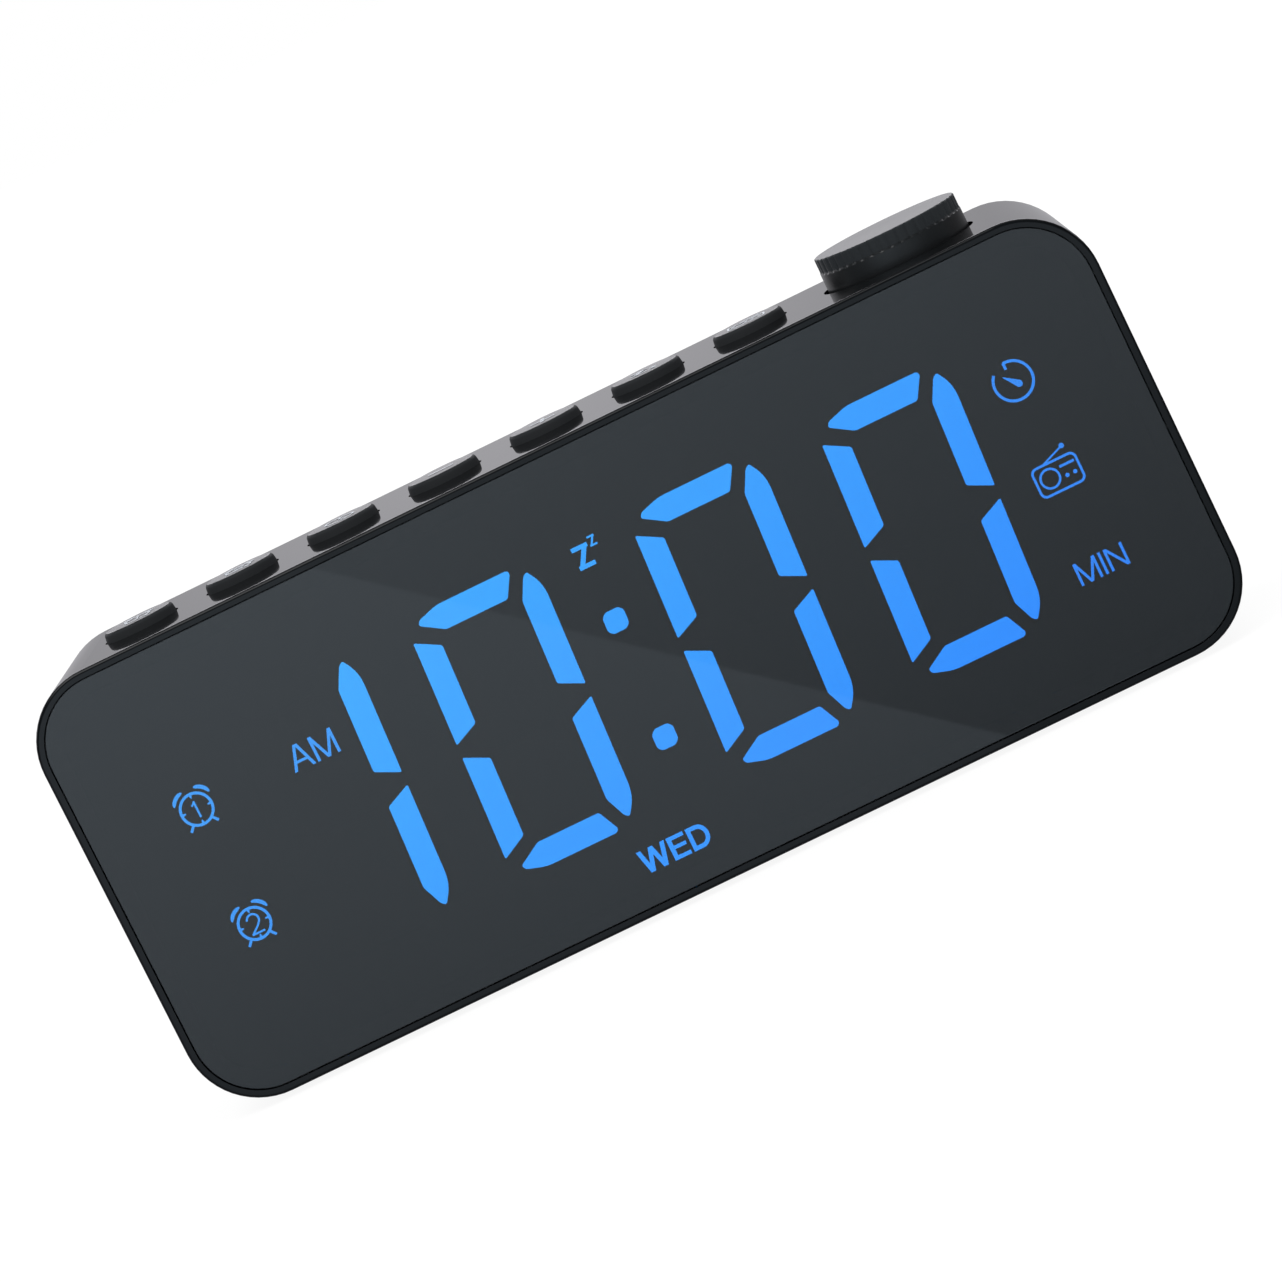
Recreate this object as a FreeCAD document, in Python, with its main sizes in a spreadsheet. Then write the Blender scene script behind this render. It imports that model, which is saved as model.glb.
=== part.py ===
import FreeCAD, Part
import Sketcher
import math
import os

# Digital alarm clock radio: a black sleeve-shaped case with a smoked front lens,
# seven round push buttons and a knurled push-and-turn knob along the top.
# Millimetres. X runs to the right, Y from front to back and Z up. The origin is
# the middle of the footprint, on the surface that the rubber feet stand on.

doc = FreeCAD.newDocument("alarm_clock")
dims = doc.addObject("Spreadsheet::Sheet", "dims")

drivingSizes = [
    # the case
    ("case_width", 190.0),
    ("case_height", 77.5),
    ("case_depth", 48.0),
    ("corner_radius", 12.9),
    ("edge_round", 0.6),
    ("wall", 2.2),
    ("lens_rim", 1.35),
    ("lens_set_back", 0.3),
    ("lens_thickness", 1.8),
    ("lens_gap", 0.15),
    ("lens_glue", 0.05),
    ("ledge_width", 3.1),
    ("ledge_thickness", 1.6),
    ("foot_height", 1.0),
    ("foot_diameter", 10.0),
    ("foot_recess", 0.8),
    ("foot_inset_across", 24.0),
    ("foot_inset_deep", 13.0),
    ("foot_edge", 0.8),
    # the display
    ("mask_thickness", 0.25),
    ("mask_gap", 0.3),
    ("reflector_end_margin", 12.0),
    ("reflector_top_margin", 12.8),
    ("reflector_bottom_margin", 4.7),
    ("reflector_depth", 8.0),
    ("digits_left_margin", 28.9),
    ("digits_right_margin", 30.46),
    ("digits_top_margin", 15.85),
    ("digits_bottom_margin", 14.9),
    ("digit_gap_left", 9.85),
    ("digit_gap_right", 10.19),
    ("colon_gap", 16.6),
    ("digit_slope", 0.0575),
    ("segment_width", 4.4),
    ("segment_depth", 2.0),
    ("segment_clearance", 0.05),
    ("dot_size", 3.9),
    ("colon_offset", 8.45),
    ("colon_rise", 8.2),
    ("colon_drop", 12.5),
    ("symbol_left_margin", 19.7),
    ("symbol_right_margin", 20.45),
    ("symbol_width", 8.8),
    ("symbol_height", 8.4),
    ("word_width", 9.8),
    ("word_height", 5.6),
    ("weekday_width", 13.6),
    ("weekday_margin", 8.65),
    ("weekday_shift", 8.1),
    ("alarm_symbol_rise", 10.3),
    ("alarm_symbol_drop", 10.9),
    ("morning_rise", 10.2),
    ("snooze_size", 6.0),
    ("snooze_drop", 3.1),
    ("timer_symbol_rise", 14.4),
    ("radio_symbol_drop", 1.6),
    ("minutes_drop", 18.6),
    ("led_size", 2.0),
    ("led_height", 0.9),
    ("board_thickness", 1.6),
    ("board_margin", 0.5),
    ("ear_drop", 8.0),
    ("screw_radius", 1.05),
    ("screw_head_radius", 2.4),
    ("screw_head_height", 1.3),
    ("pilot_clearance", 0.05),
    ("board_boss_radius", 2.5),
    # the push buttons and their switches
    ("button_diameter", 12.9),
    ("button_rise", 1.65),
    ("button_edge", 0.4),
    ("button_draft", 0.2),
    ("button_gap", 0.3),
    ("first_button", 22.02),
    ("button_wall", 1.4),
    ("button_travel", 0.5),
    ("flange_reach", 1.0),
    ("flange_thickness", 1.0),
    ("flange_clearance", 0.15),
    ("stem_radius", 2.2),
    ("key_board_drop", 10.8),
    ("key_board_end_margin", 14.0),
    ("key_board_side_margin", 13.5),
    ("key_boss_inset", 2.5),
    ("key_screw_reach", 5.0),
    ("switch_width", 6.0),
    ("switch_height", 3.4),
    ("plunger_radius", 1.75),
    ("plunger_rise", 0.9),
    ("plunger_depth", 1.2),
    ("travel_spare", 0.1),
    ("sliding_clearance", 0.05),
    # the knob and its rotary encoder
    ("knob_inset", 28.2),
    ("knob_spacing", 27.2),
    ("knob_diameter", 25.4),
    ("knob_rise", 5.85),
    ("grip_height", 2.35),
    ("grip_step", 0.15),
    ("grip_slope", 0.45),
    ("knob_edge", 0.35),
    ("knob_wall", 1.6),
    ("knob_sink", 0.4),
    ("knob_gap", 0.93),
    ("knob_recess", 1.2),
    ("hub_radius", 5.0),
    ("hub_lift", 0.7),
    ("knurl_depth", 0.22),
    ("knurl_width", 0.6),
    ("knob_travel", 0.5),
    ("shaft_radius", 3.0),
    ("shaft_flat", 1.5),
    ("shaft_fit", 0.02),
    ("shaft_engagement", 4.2),
    ("bushing_radius", 3.5),
    ("bushing_clearance", 0.2),
    ("bushing_stand", 0.8),
    ("encoder_width", 12.4),
    ("encoder_base_height", 3.5),
    ("encoder_floor", 1.2),
    ("encoder_plate", 2.2),
    ("rotor_radius", 4.9),
    ("rotor_pocket_radius", 5.1),
    # the rear cover and what it carries
    ("cover_gap", 0.15),
    ("cover_thickness", 2.2),
    ("cover_boss_radius", 3.6),
    ("cover_boss_reach", 7.4),
    ("cover_screw_sink", 1.2),
    ("cover_screw_length", 10.0),
    ("speaker_inset", 40.0),
    ("speaker_centre_up", 37.0),
    ("speaker_radius", 20.0),
    ("speaker_flange", 1.2),
    ("surround_width", 1.6),
    ("surround_recess", 0.8),
    ("basket_shoulder", 2.5),
    ("basket_floor_radius", 10.5),
    ("basket_depth", 9.0),
    ("basket_wall", 1.0),
    ("coil_radius", 6.5),
    ("cone_clearance", 0.1),
    ("cone_thickness", 0.6),
    ("cone_depth", 7.2),
    ("dome_rise", 1.3),
    ("magnet_radius", 11.0),
    ("magnet_thickness", 7.0),
    ("magnet_edge", 0.6),
    ("speaker_screw_radius", 0.8),
    ("speaker_screw_head_radius", 2.3),
    ("speaker_screw_head_height", 1.1),
    ("speaker_screw_reach", 1.9),
    ("speaker_screw_bite", 1.0),
    ("speaker_post_radius", 1.6),
    ("grille_radius", 16.0),
    ("grille_slot", 1.7),
    ("grille_pitch", 3.4),
    ("main_board_gap", 11.0),
    ("main_board_end_margin", 15.0),
    ("main_board_bottom", 8.0),
    ("main_board_drop", 18.5),
    ("main_board_stand", 11.8),
    ("main_board_inset", 4.5),
    ("main_screw_reach", 7.0),
    ("clock_chip_size", 10.0),
    ("clock_chip_thickness", 1.4),
    ("clock_chip_inset", 32.0),
    ("clock_chip_drop", 16.0),
    ("tuner_width", 20.0),
    ("tuner_height", 16.0),
    ("tuner_thickness", 3.2),
    ("tuner_across", 30.0),
    ("tuner_drop", 21.0),
    ("amplifier_width", 5.0),
    ("amplifier_height", 6.0),
    ("amplifier_thickness", 1.6),
    ("amplifier_across", 8.0),
    ("amplifier_drop", 8.0),
    ("crystal_radius", 1.5),
    ("crystal_length", 5.0),
    ("crystal_inset", 12.0),
    ("crystal_drop", 18.0),
    ("capacitor_radius", 4.0),
    ("capacitor_length", 10.8),
    ("capacitor_across", 14.0),
    ("capacitor_drop", 14.0),
    ("capacitor_pitch", 11.0),
    ("connector_spacing", 22.0),
    ("jack_centre_up", 22.0),
    ("jack_width", 9.0),
    ("jack_height", 11.0),
    ("jack_nose_radius", 4.0),
    ("jack_bore_radius", 3.15),
    ("jack_bore_depth", 9.5),
    ("jack_pin_radius", 1.0),
    ("port_spacing", 32.0),
    ("port_width", 13.1),
    ("port_height", 5.7),
    ("port_sheet", 0.3),
    ("port_gap", 0.2),
    ("tongue_width", 11.1),
    ("tongue_height", 1.8),
    ("tongue_length", 8.4),
    ("tongue_rise", 0.9),
    ("connector_set_back", 0.8),
    ("cell_inset", 37.0),
    ("cell_centre_up", 24.0),
    ("cell_radius", 10.0),
    ("cell_thickness", 3.2),
    ("cell_clearance", 0.5),
    ("bay_height", 30.0),
    ("bay_depth", 7.0),
    ("bay_wall", 1.4),
    ("door_thickness", 1.6),
    ("door_gap", 0.2),
    ("door_ledge", 1.5),
    ("notch_width", 8.0),
    ("notch_height", 1.2),
    ("notch_depth", 0.9),
    ("notch_drop", 3.0),
    ("contact_thickness", 0.4),
    ("contact_width", 5.0),
    ("contact_length", 12.0),
    ("contact_gap", 0.1),
    # the flat cables between the boards
    ("ribbon_width", 8.0),
    ("ribbon_thickness", 0.3),
    ("ribbon_rise", 10.0),
    ("ribbon_bend", 3.0),
    ("ribbon_inset", 20.0),
    ("ribbon_socket_up", 28.0),
    ("key_socket_drop", 8.0),
    ("socket_height", 2.0),
    ("socket_length", 4.0),
    ("socket_margin", 1.0),
]

for row, (alias, size) in enumerate(drivingSizes, start=1):
    dims.set("A%d" % row, alias.replace("_", " "))
    dims.set("B%d" % row, str(size))
    dims.setAlias("B%d" % row, alias)
doc.recompute()

buttonNames = ["alarm_1", "alarm_2", "clock", "minus", "plus", "sleep", "radio"]
knurlCount = 45

# Heights and depths that several pieces share, as expressions on the sheet.
top = "(dims.foot_height + dims.case_height)"
middle = "(dims.foot_height + dims.case_height / 2)"
underTop = "(%s - dims.wall)" % top
keyBoardTop = "(%s - dims.key_board_drop)" % top
switchTop = "(%s + dims.switch_height)" % keyBoardTop
plungerTop = "(%s + dims.plunger_rise)" % switchTop
lensBack = "(dims.lens_set_back + dims.lens_thickness)"
ledgeBack = "(%s + dims.ledge_thickness)" % lensBack
maskFront = "(%s + dims.lens_glue)" % lensBack
maskBack = "(%s + dims.mask_thickness)" % maskFront
reflectorFront = "(%s + dims.mask_gap)" % maskBack
displayBoardFront = "(%s + dims.reflector_depth)" % reflectorFront
coverFront = "(dims.case_depth - dims.cover_thickness)"
mainBoardBack = "(%s - dims.main_board_stand)" % coverFront
mainBoardFront = "(%s - dims.board_thickness)" % mainBoardBack
knobAcross = "(dims.case_width / 2 - dims.knob_inset)"
buttonPitch = "((dims.case_width - dims.first_button - dims.knob_inset - dims.knob_spacing) / %d)" \
    % (len(buttonNames) - 1)
keyBoardDepth = "(dims.case_depth - 2 * dims.key_board_side_margin)"
keyBoardBottom = "(%s - dims.board_thickness)" % keyBoardTop
recessFloor = "(%s - dims.knob_recess)" % top
knobTop = "(%s + dims.knob_rise)" % top
knobBottom = "(%s - dims.knob_sink)" % top
hubBottom = "(%s + dims.hub_lift)" % knobBottom
bushingTop = "(%s + dims.bushing_stand)" % recessFloor
encoderSplit = "(%s + dims.encoder_base_height)" % keyBoardTop
rotorBottom = "(%s + dims.encoder_floor + dims.sliding_clearance)" % keyBoardTop
rotorHeight = "(dims.encoder_base_height - dims.encoder_floor - 2 * dims.sliding_clearance)"
speakerAcross = "(dims.speaker_inset - dims.case_width / 2)"
mainBoardLeft = "(%s + dims.speaker_radius + dims.main_board_gap)" % speakerAcross
mainBoardRight = "(dims.case_width / 2 - dims.main_board_end_margin)"
mainBoardTop = "(%s - dims.main_board_drop)" % top
cellAcross = "(dims.case_width / 2 - dims.cell_inset)"
portAcross = "(%s - dims.port_spacing)" % cellAcross
jackAcross = "(%s - dims.connector_spacing)" % portAcross
bayWidth = "(2 * (dims.cell_radius + dims.cell_clearance + dims.door_ledge))"

subParts = []


def cell(alias):
    return float(dims.get(alias))


def fromFront(depth):
    # Y of a place given as its depth behind the front of the case.
    return "-dims.case_depth / 2 + (%s)" % depth


def buttonAcross(index):
    return "(-dims.case_width / 2 + dims.first_button + %d * %s)" % (index, buttonPitch)


def keep(feature, name):
    # Marks a finished object as the sub-part that carries this name.
    feature.Label = name
    subParts.append(feature)
    return feature


def place(feature, across, back, up):
    feature.setExpression("Placement.Base.x", across)
    feature.setExpression("Placement.Base.y", back)
    feature.setExpression("Placement.Base.z", up)
    return feature


def box(name, width, depth, height, left, front, bottom):
    solid = doc.addObject("Part::Box", name)
    solid.setExpression("Length", width)
    solid.setExpression("Width", depth)
    solid.setExpression("Height", height)
    return place(solid, left, front, bottom)


def centredBox(name, width, depth, height, across, back, bottom):
    left = "(%s) - (%s) / 2" % (across, width)
    front = "(%s) - (%s) / 2" % (back, depth)
    return box(name, width, depth, height, left, front, bottom)


def upright(name, radius, height, across, back, bottom):
    solid = doc.addObject("Part::Cylinder", name)
    solid.setExpression("Radius", radius)
    solid.setExpression("Height", height)
    return place(solid, across, back, bottom)


def lying(name, radius, length, across, front, up):
    # A cylinder that runs along +Y from its front end.
    solid = doc.addObject("Part::Cylinder", name)
    solid.setExpression("Radius", radius)
    solid.setExpression("Height", length)
    solid.Placement = FreeCAD.Placement(FreeCAD.Vector(), FreeCAD.Rotation(FreeCAD.Vector(1, 0, 0), -90))
    return place(solid, across, front, up)


def joined(name, solids):
    fused = doc.addObject("Part::MultiFuse", name)
    fused.Shapes = solids
    return fused


def cutFrom(name, base, tools):
    tool = tools[0]
    if len(tools) > 1:
        tool = joined(name + "_tools", tools)
    rest = doc.addObject("Part::Cut", name)
    rest.Base = base
    rest.Tool = tool
    return rest


def group(name, solids):
    # Separate solids that share one node.
    compound = doc.addObject("Part::Compound", name)
    compound.Links = solids
    return compound


def originFeature(body, role):
    # One of the body's own planes or axes.
    for feature in body.Origin.OriginFeatures:
        if feature.Role == role:
            return feature


def outline(body, name, role, points, offset="0"):
    # A closed polygon whose corners are held by expressions.
    sketch = body.newObject("Sketcher::SketchObject", name)
    sketch.AttachmentSupport = (originFeature(body, role), [""])
    sketch.MapMode = "FlatFace"
    sketch.setExpression("AttachmentOffset.Base.z", offset)
    count = len(points)
    seeds = []
    for index in range(count):
        turn = 2 * math.pi * index / count
        seeds.append(FreeCAD.Vector(10 * math.cos(turn), 10 * math.sin(turn), 0))
    for index in range(count):
        sketch.addGeometry(Part.LineSegment(seeds[index], seeds[(index + 1) % count]), False)
    for index in range(count):
        sketch.addConstraint(Sketcher.Constraint("Coincident", index, 2, (index + 1) % count, 1))
    for index, (across, along) in enumerate(points):
        held = sketch.addConstraint(Sketcher.Constraint("DistanceX", -1, 1, index, 1, seeds[index].x))
        sketch.setExpression("Constraints[%d]" % held, across)
        held = sketch.addConstraint(Sketcher.Constraint("DistanceY", -1, 1, index, 1, seeds[index].y))
        sketch.setExpression("Constraints[%d]" % held, along)
    return sketch


def oblong(width, height, centre):
    # Corner points of an upright rectangle in the middle of the case.
    left = "-(%s) / 2" % width
    right = "(%s) / 2" % width
    low = "(%s) - (%s) / 2" % (centre, height)
    high = "(%s) + (%s) / 2" % (centre, height)
    return [(left, low), (right, low), (right, high), (left, high)]


def padded(body, sketch, name, length):
    pad = body.newObject("PartDesign::Pad", name)
    pad.Profile = sketch
    pad.setExpression("Length", length)
    doc.recompute()
    return pad


def pocketed(body, sketch, name, length, intoFront):
    # A sketch on the XZ plane looks to the front, so a pocket from the back is reversed.
    before = body.Shape.Volume
    pocket = body.newObject("PartDesign::Pocket", name)
    pocket.Profile = sketch
    pocket.Reversed = intoFront
    pocket.setExpression("Length", length)
    doc.recompute()
    if body.Shape.Volume >= before:
        raise RuntimeError(name + " removes nothing")
    return pocket


def revolved(body, sketch, name):
    spin = body.newObject("PartDesign::Revolution", name)
    spin.Profile = sketch
    spin.ReferenceAxis = (sketch, ["V_Axis"])
    spin.Angle = 360
    doc.recompute()
    return spin


def rounded(body, base, name, edges, radius):
    fillet = body.newObject("PartDesign::Fillet", name)
    fillet.Base = (base, edges)
    fillet.setExpression("Radius", radius)
    doc.recompute()
    return fillet


def edgesAlongDepth(shape, halfWidth):
    # The four corner edges of a rectangular pad or pocket of this half width.
    found = []
    for number, edge in enumerate(shape.Edges, start=1):
        ends = edge.Vertexes
        if len(ends) != 2 or not isinstance(edge.Curve, Part.Line):
            continue
        sameLine = abs(ends[0].X - ends[1].X) < 1e-6 and abs(ends[0].Z - ends[1].Z) < 1e-6
        if sameLine and abs(abs(ends[0].X) - halfWidth) < 1e-6:
            found.append("Edge%d" % number)
    return found


def edgesAlongWidth(shape, height):
    # The edges along X that lie at this height.
    return edgesInPlane(shape, 2, height, lambda span: span.XLength > span.YLength)


def edgesInPlane(shape, axis, position, wanted=None):
    # Edges that lie in one plane square to X, Y or Z, and pass a test on their middle.
    found = []
    for number, edge in enumerate(shape.Edges, start=1):
        span = edge.BoundBox
        low = [span.XMin, span.YMin, span.ZMin][axis]
        high = [span.XMax, span.YMax, span.ZMax][axis]
        if abs(low - position) > 1e-4 or abs(high - position) > 1e-4:
            continue
        if wanted is None or wanted(span):
            found.append("Edge%d" % number)
    return found


def roundedPlate(name, width, height, centre, front, thickness, radius):
    # An upright plate with rounded corners, standing square to Y.
    body = doc.addObject("PartDesign::Body", name)
    back = "dims.case_depth / 2 - (%s) - (%s)" % (front, thickness)
    sketch = outline(body, name + "_outline", "XZ_Plane", oblong(width, height, centre), back)
    pad = padded(body, sketch, name + "_pad", thickness)
    halfWidth = pad.Shape.BoundBox.XMax
    rounded(body, pad, name + "_corners", edgesAlongDepth(pad.Shape, halfWidth), radius)
    return body


def screwSet(name, places, headAlong, shankAlong):
    # Pan-head screws, each a head and a shank in one solid, made by the two functions given.
    screws = []
    for index, spot in enumerate(places):
        head = headAlong("%s_head_%d" % (name, index), spot)
        shank = shankAlong("%s_shank_%d" % (name, index), spot)
        screws.append(joined("%s_%d" % (name, index), [head, shank]))
    return keep(group(name, screws), name)


# ---------------------------------------------------------------- places of the fasteners

def coverBossPlaces():
    # The corner bosses stand on the diagonal of each rounded corner.
    across = "(dims.case_width / 2 - dims.corner_radius + dims.cover_boss_reach * 0.7071)"
    up = "(dims.case_height / 2 - dims.corner_radius + dims.cover_boss_reach * 0.7071)"
    places = []
    for side in ("-", "+"):
        for level in ("-", "+"):
            places.append(("0 %s %s" % (side, across), "%s %s %s" % (middle, level, up)))
    return places


def displayBossPlaces():
    across = "(dims.case_width / 2 - dims.wall - dims.board_boss_radius + 0.1)"
    places = []
    for side in ("-", "+"):
        for level in ("-", "+"):
            places.append(("0 %s %s" % (side, across), "%s %s dims.case_height / 4" % (middle, level)))
    return places


def keyBossPlaces():
    # Between the first and second button, the fourth and fifth, and after the last one.
    places = []
    for index in (0, 3, 6):
        across = "%s + %s / 2" % (buttonAcross(index), buttonPitch)
        for side in ("-", "+"):
            places.append((across, "0 %s (%s / 2 - dims.key_boss_inset)" % (side, keyBoardDepth)))
    return places


def mainBoardPlaces():
    places = []
    for across in ("%s + dims.main_board_inset" % mainBoardLeft,
                   "%s - dims.main_board_inset" % mainBoardRight):
        for up in ("dims.main_board_bottom + dims.main_board_inset",
                   "%s - dims.main_board_inset" % mainBoardTop):
            places.append((across, up))
    return places


# ---------------------------------------------------------------- main case

def caseShell():
    body = doc.addObject("PartDesign::Body", "case_shell")
    whole = oblong("dims.case_width", "dims.case_height", middle)
    sketch = outline(body, "case_outline", "XZ_Plane", whole, "-dims.case_depth / 2")
    pad = padded(body, sketch, "case_pad", "dims.case_depth")

    inset = "(dims.lens_rim + dims.ledge_width)"
    window = oblong("dims.case_width - 2 * %s" % inset, "dims.case_height - 2 * %s" % inset, middle)
    sketch = outline(body, "window_outline", "XZ_Plane", window, "dims.case_depth / 2")
    pocket = pocketed(body, sketch, "window", ledgeBack, False)
    corners = edgesAlongDepth(pocket.Shape, cell("case_width") / 2 - cell("lens_rim") - cell("ledge_width"))
    rounded(body, pocket, "window_corners", corners, "dims.corner_radius - %s" % inset)

    seat = oblong("dims.case_width - 2 * dims.lens_rim", "dims.case_height - 2 * dims.lens_rim", middle)
    sketch = outline(body, "lens_seat_outline", "XZ_Plane", seat, "dims.case_depth / 2")
    pocket = pocketed(body, sketch, "lens_seat", lensBack, False)
    corners = edgesAlongDepth(pocket.Shape, cell("case_width") / 2 - cell("lens_rim"))
    rounded(body, pocket, "lens_seat_corners", corners, "dims.corner_radius - dims.lens_rim")

    hollow = oblong("dims.case_width - 2 * dims.wall", "dims.case_height - 2 * dims.wall", middle)
    sketch = outline(body, "cavity_outline", "XZ_Plane", hollow, "-dims.case_depth / 2")
    pocket = pocketed(body, sketch, "cavity", "dims.case_depth - %s" % ledgeBack, True)
    corners = edgesAlongDepth(pocket.Shape, cell("case_width") / 2 - cell("wall"))
    pocket = rounded(body, pocket, "cavity_corners", corners, "dims.corner_radius - dims.wall")

    # Each pocket is cut before what surrounds it is rounded, so that its sharp corners stay in full walls.
    corners = edgesAlongDepth(pocket.Shape, cell("case_width") / 2)
    shell = rounded(body, pocket, "case_corners", corners, "dims.corner_radius")
    half = cell("case_depth") / 2
    limit = cell("case_width") / 2 - cell("lens_rim") / 2

    def outer(span):
        return max(abs(span.XMin), abs(span.XMax)) > limit or span.ZMax > highest or span.ZMin < lowest

    highest = cell("foot_height") + cell("case_height") - cell("lens_rim") / 2
    lowest = cell("foot_height") + cell("lens_rim") / 2
    rims = edgesInPlane(shell.Shape, 1, -half, outer) + edgesInPlane(shell.Shape, 1, half, outer)
    rounded(body, shell, "case_edges", rims, "dims.edge_round")
    return body


def mainCase():
    solids = [caseShell()]
    cuts = []

    # Button holes, the knob's shallow recess and the hole for the encoder's bushing.
    for index in range(len(buttonNames)):
        hole = upright("button_hole_%d" % index, "dims.button_diameter / 2 + dims.button_gap",
                       "2 * dims.wall", buttonAcross(index), "0", "%s - dims.wall" % underTop)
        cuts.append(hole)
    recessRadius = "dims.knob_diameter / 2 + dims.knob_gap"
    solids.append(upright("recess_floor", "%s + dims.wall" % recessRadius, "dims.knob_recess + dims.wall / 2",
                          knobAcross, "0", "%s - dims.wall" % recessFloor))
    cuts.append(upright("knob_recess_cut", recessRadius, "2 * dims.knob_recess", knobAcross, "0", recessFloor))
    cuts.append(upright("bushing_hole", "dims.bushing_radius + dims.bushing_clearance", "3 * dims.wall",
                        knobAcross, "0", "%s - 2 * dims.wall" % recessFloor))

    # Bosses for the key board hang under the top wall.
    for index, (across, back) in enumerate(keyBossPlaces()):
        solids.append(upright("key_boss_%d" % index, "dims.board_boss_radius", "%s - %s + dims.wall / 2"
                              % (underTop, keyBoardTop), across, back, keyBoardTop))
        cuts.append(upright("key_pilot_%d" % index, "dims.screw_radius + dims.pilot_clearance",
                            "dims.key_board_drop - 2 * dims.wall", across, back, keyBoardTop))

    # Bosses for the display board stand behind the lens ledge, along both ends.
    for index, (across, up) in enumerate(displayBossPlaces()):
        solids.append(lying("display_boss_%d" % index, "dims.board_boss_radius",
                            "%s - %s" % (displayBoardFront, maskBack), across, fromFront(maskBack), up))
        cuts.append(lying("display_pilot_%d" % index, "dims.screw_radius + dims.pilot_clearance",
                          "%s - %s" % (displayBoardFront, ledgeBack), across, fromFront(ledgeBack), up))

    # Corner bosses take the rear cover's screws.
    for index, (across, up) in enumerate(coverBossPlaces()):
        solids.append(lying("cover_boss_%d" % index, "dims.cover_boss_radius",
                            "%s - %s" % (coverFront, maskBack), across, fromFront(maskBack), up))
        cuts.append(lying("cover_pilot_%d" % index, "dims.screw_radius + dims.pilot_clearance",
                          "dims.cover_screw_length + 2", across,
                          fromFront("%s - dims.cover_screw_length" % coverFront), up))

    for index, (across, back) in enumerate(footPlaces()):
        cuts.append(upright("foot_seat_%d" % index, "dims.foot_diameter / 2", "dims.foot_recess",
                            across, back, "dims.foot_height"))
    body = joined("case_with_bosses", solids)
    keep(cutFrom("main_case", body, cuts), "main_case")


def footPlaces():
    places = []
    for side in ("-", "+"):
        for end in ("-", "+"):
            across = "0 %s (dims.case_width / 2 - dims.foot_inset_across)" % side
            back = "0 %s (dims.case_depth / 2 - dims.foot_inset_deep)" % end
            places.append((across, back))
    return places


def rubberFeet():
    feet = []
    for index, (across, back) in enumerate(footPlaces()):
        body = doc.addObject("PartDesign::Body", "foot_%d" % index)
        radius = "dims.foot_diameter / 2"
        height = "dims.foot_height + dims.foot_recess"
        profile = [("0", "0"), ("%s - dims.foot_edge" % radius, "0"), (radius, "dims.foot_edge"),
                   (radius, height), ("0", height)]
        revolved(body, outline(body, "foot_profile_%d" % index, "XZ_Plane", profile), "foot_turned_%d" % index)
        feet.append(place(body, across, back, "0"))
    keep(group("rubber_feet", feet), "rubber_feet")


# ---------------------------------------------------------------- front lens and display

def frontLens():
    inset = "(dims.lens_rim + dims.lens_gap)"
    lens = roundedPlate("front_lens", "dims.case_width - 2 * %s" % inset, "dims.case_height - 2 * %s" % inset,
                        middle, "dims.lens_set_back", "dims.lens_thickness", "dims.corner_radius - %s" % inset)
    tip = lens.Tip
    front = cell("lens_set_back") - cell("case_depth") / 2
    rounded(lens, tip, "lens_front_edge", edgesInPlane(tip.Shape, 1, front), "0.25")
    keep(lens, "front_lens")


def mirrored(points):
    # The same outline upside down, with its corners still in turning order.
    return [(across, -up) for across, up in reversed(points)]


def digitWidth():
    # The four digits share what the margins and the gaps between them leave of the width.
    taken = 0
    for alias in ("digits_left_margin", "digits_right_margin", "digit_gap_left", "digit_gap_right", "colon_gap"):
        taken += cell(alias)
    return (cell("case_width") - taken) / 4


def digitCentres():
    centres = [cell("digits_left_margin") - cell("case_width") / 2 + digitWidth() / 2]
    for gap in ("digit_gap_left", "colon_gap", "digit_gap_right"):
        centres.append(centres[-1] + digitWidth() + cell(gap))
    return centres


def digitLevel():
    # Height of the middle of the digits.
    return cell("foot_height") + (cell("case_height") + cell("digits_bottom_margin") - cell("digits_top_margin")) / 2


def segmentOutlines():
    # Outlines of the seven segments about the digit's middle, before the digit leans over.
    half = (cell("case_height") - cell("digits_bottom_margin") - cell("digits_top_margin")) / 2
    side = digitWidth() / 2
    bar = cell("segment_width")
    topBar = [(-side + 1.35 * bar, half), (-side + 0.55 * bar, half - 0.25 * bar),
              (-side + 0.45 * bar, half - 0.45 * bar), (-side + 1.35 * bar, half - bar),
              (side - 1.45 * bar, half - bar), (side - bar, half - 0.15 * bar), (side - 1.1 * bar, half)]
    upperRight = [(side - bar, 0.7 * bar), (side, 0.23 * bar), (side, half - 1.3 * bar),
                  (side - 0.12 * bar, half - 0.84 * bar), (side - 0.43 * bar, half - 0.35 * bar),
                  (side - 0.62 * bar, half - 0.48 * bar), (side - bar, half - 1.3 * bar)]
    upperLeft = [(-side, 0.23 * bar), (-side + bar, 0.7 * bar), (-side + bar, half - 1.45 * bar),
                 (-side, half - 0.91 * bar)]
    middleBar = [(-side + 0.45 * bar, 0), (-side + 1.3 * bar, -bar / 2), (side - 1.3 * bar, -bar / 2),
                 (side - 0.45 * bar, 0), (side - 1.3 * bar, bar / 2), (-side + 1.3 * bar, bar / 2)]
    return {"a": topBar, "b": upperRight, "c": mirrored(upperRight), "d": mirrored(topBar),
            "e": mirrored(upperLeft), "f": upperLeft, "g": middleBar}


digitsShown = ["bc", "abcdef", "abcdef", "abcdef"]


def prism(points, front, depth):
    # A straight solid along +Y from a closed outline in X and Z.
    corners = [FreeCAD.Vector(across, front, up) for across, up in points]
    face = Part.Face(Part.makePolygon(corners + corners[:1]))
    return face.extrude(FreeCAD.Vector(0, depth, 0))


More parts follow.
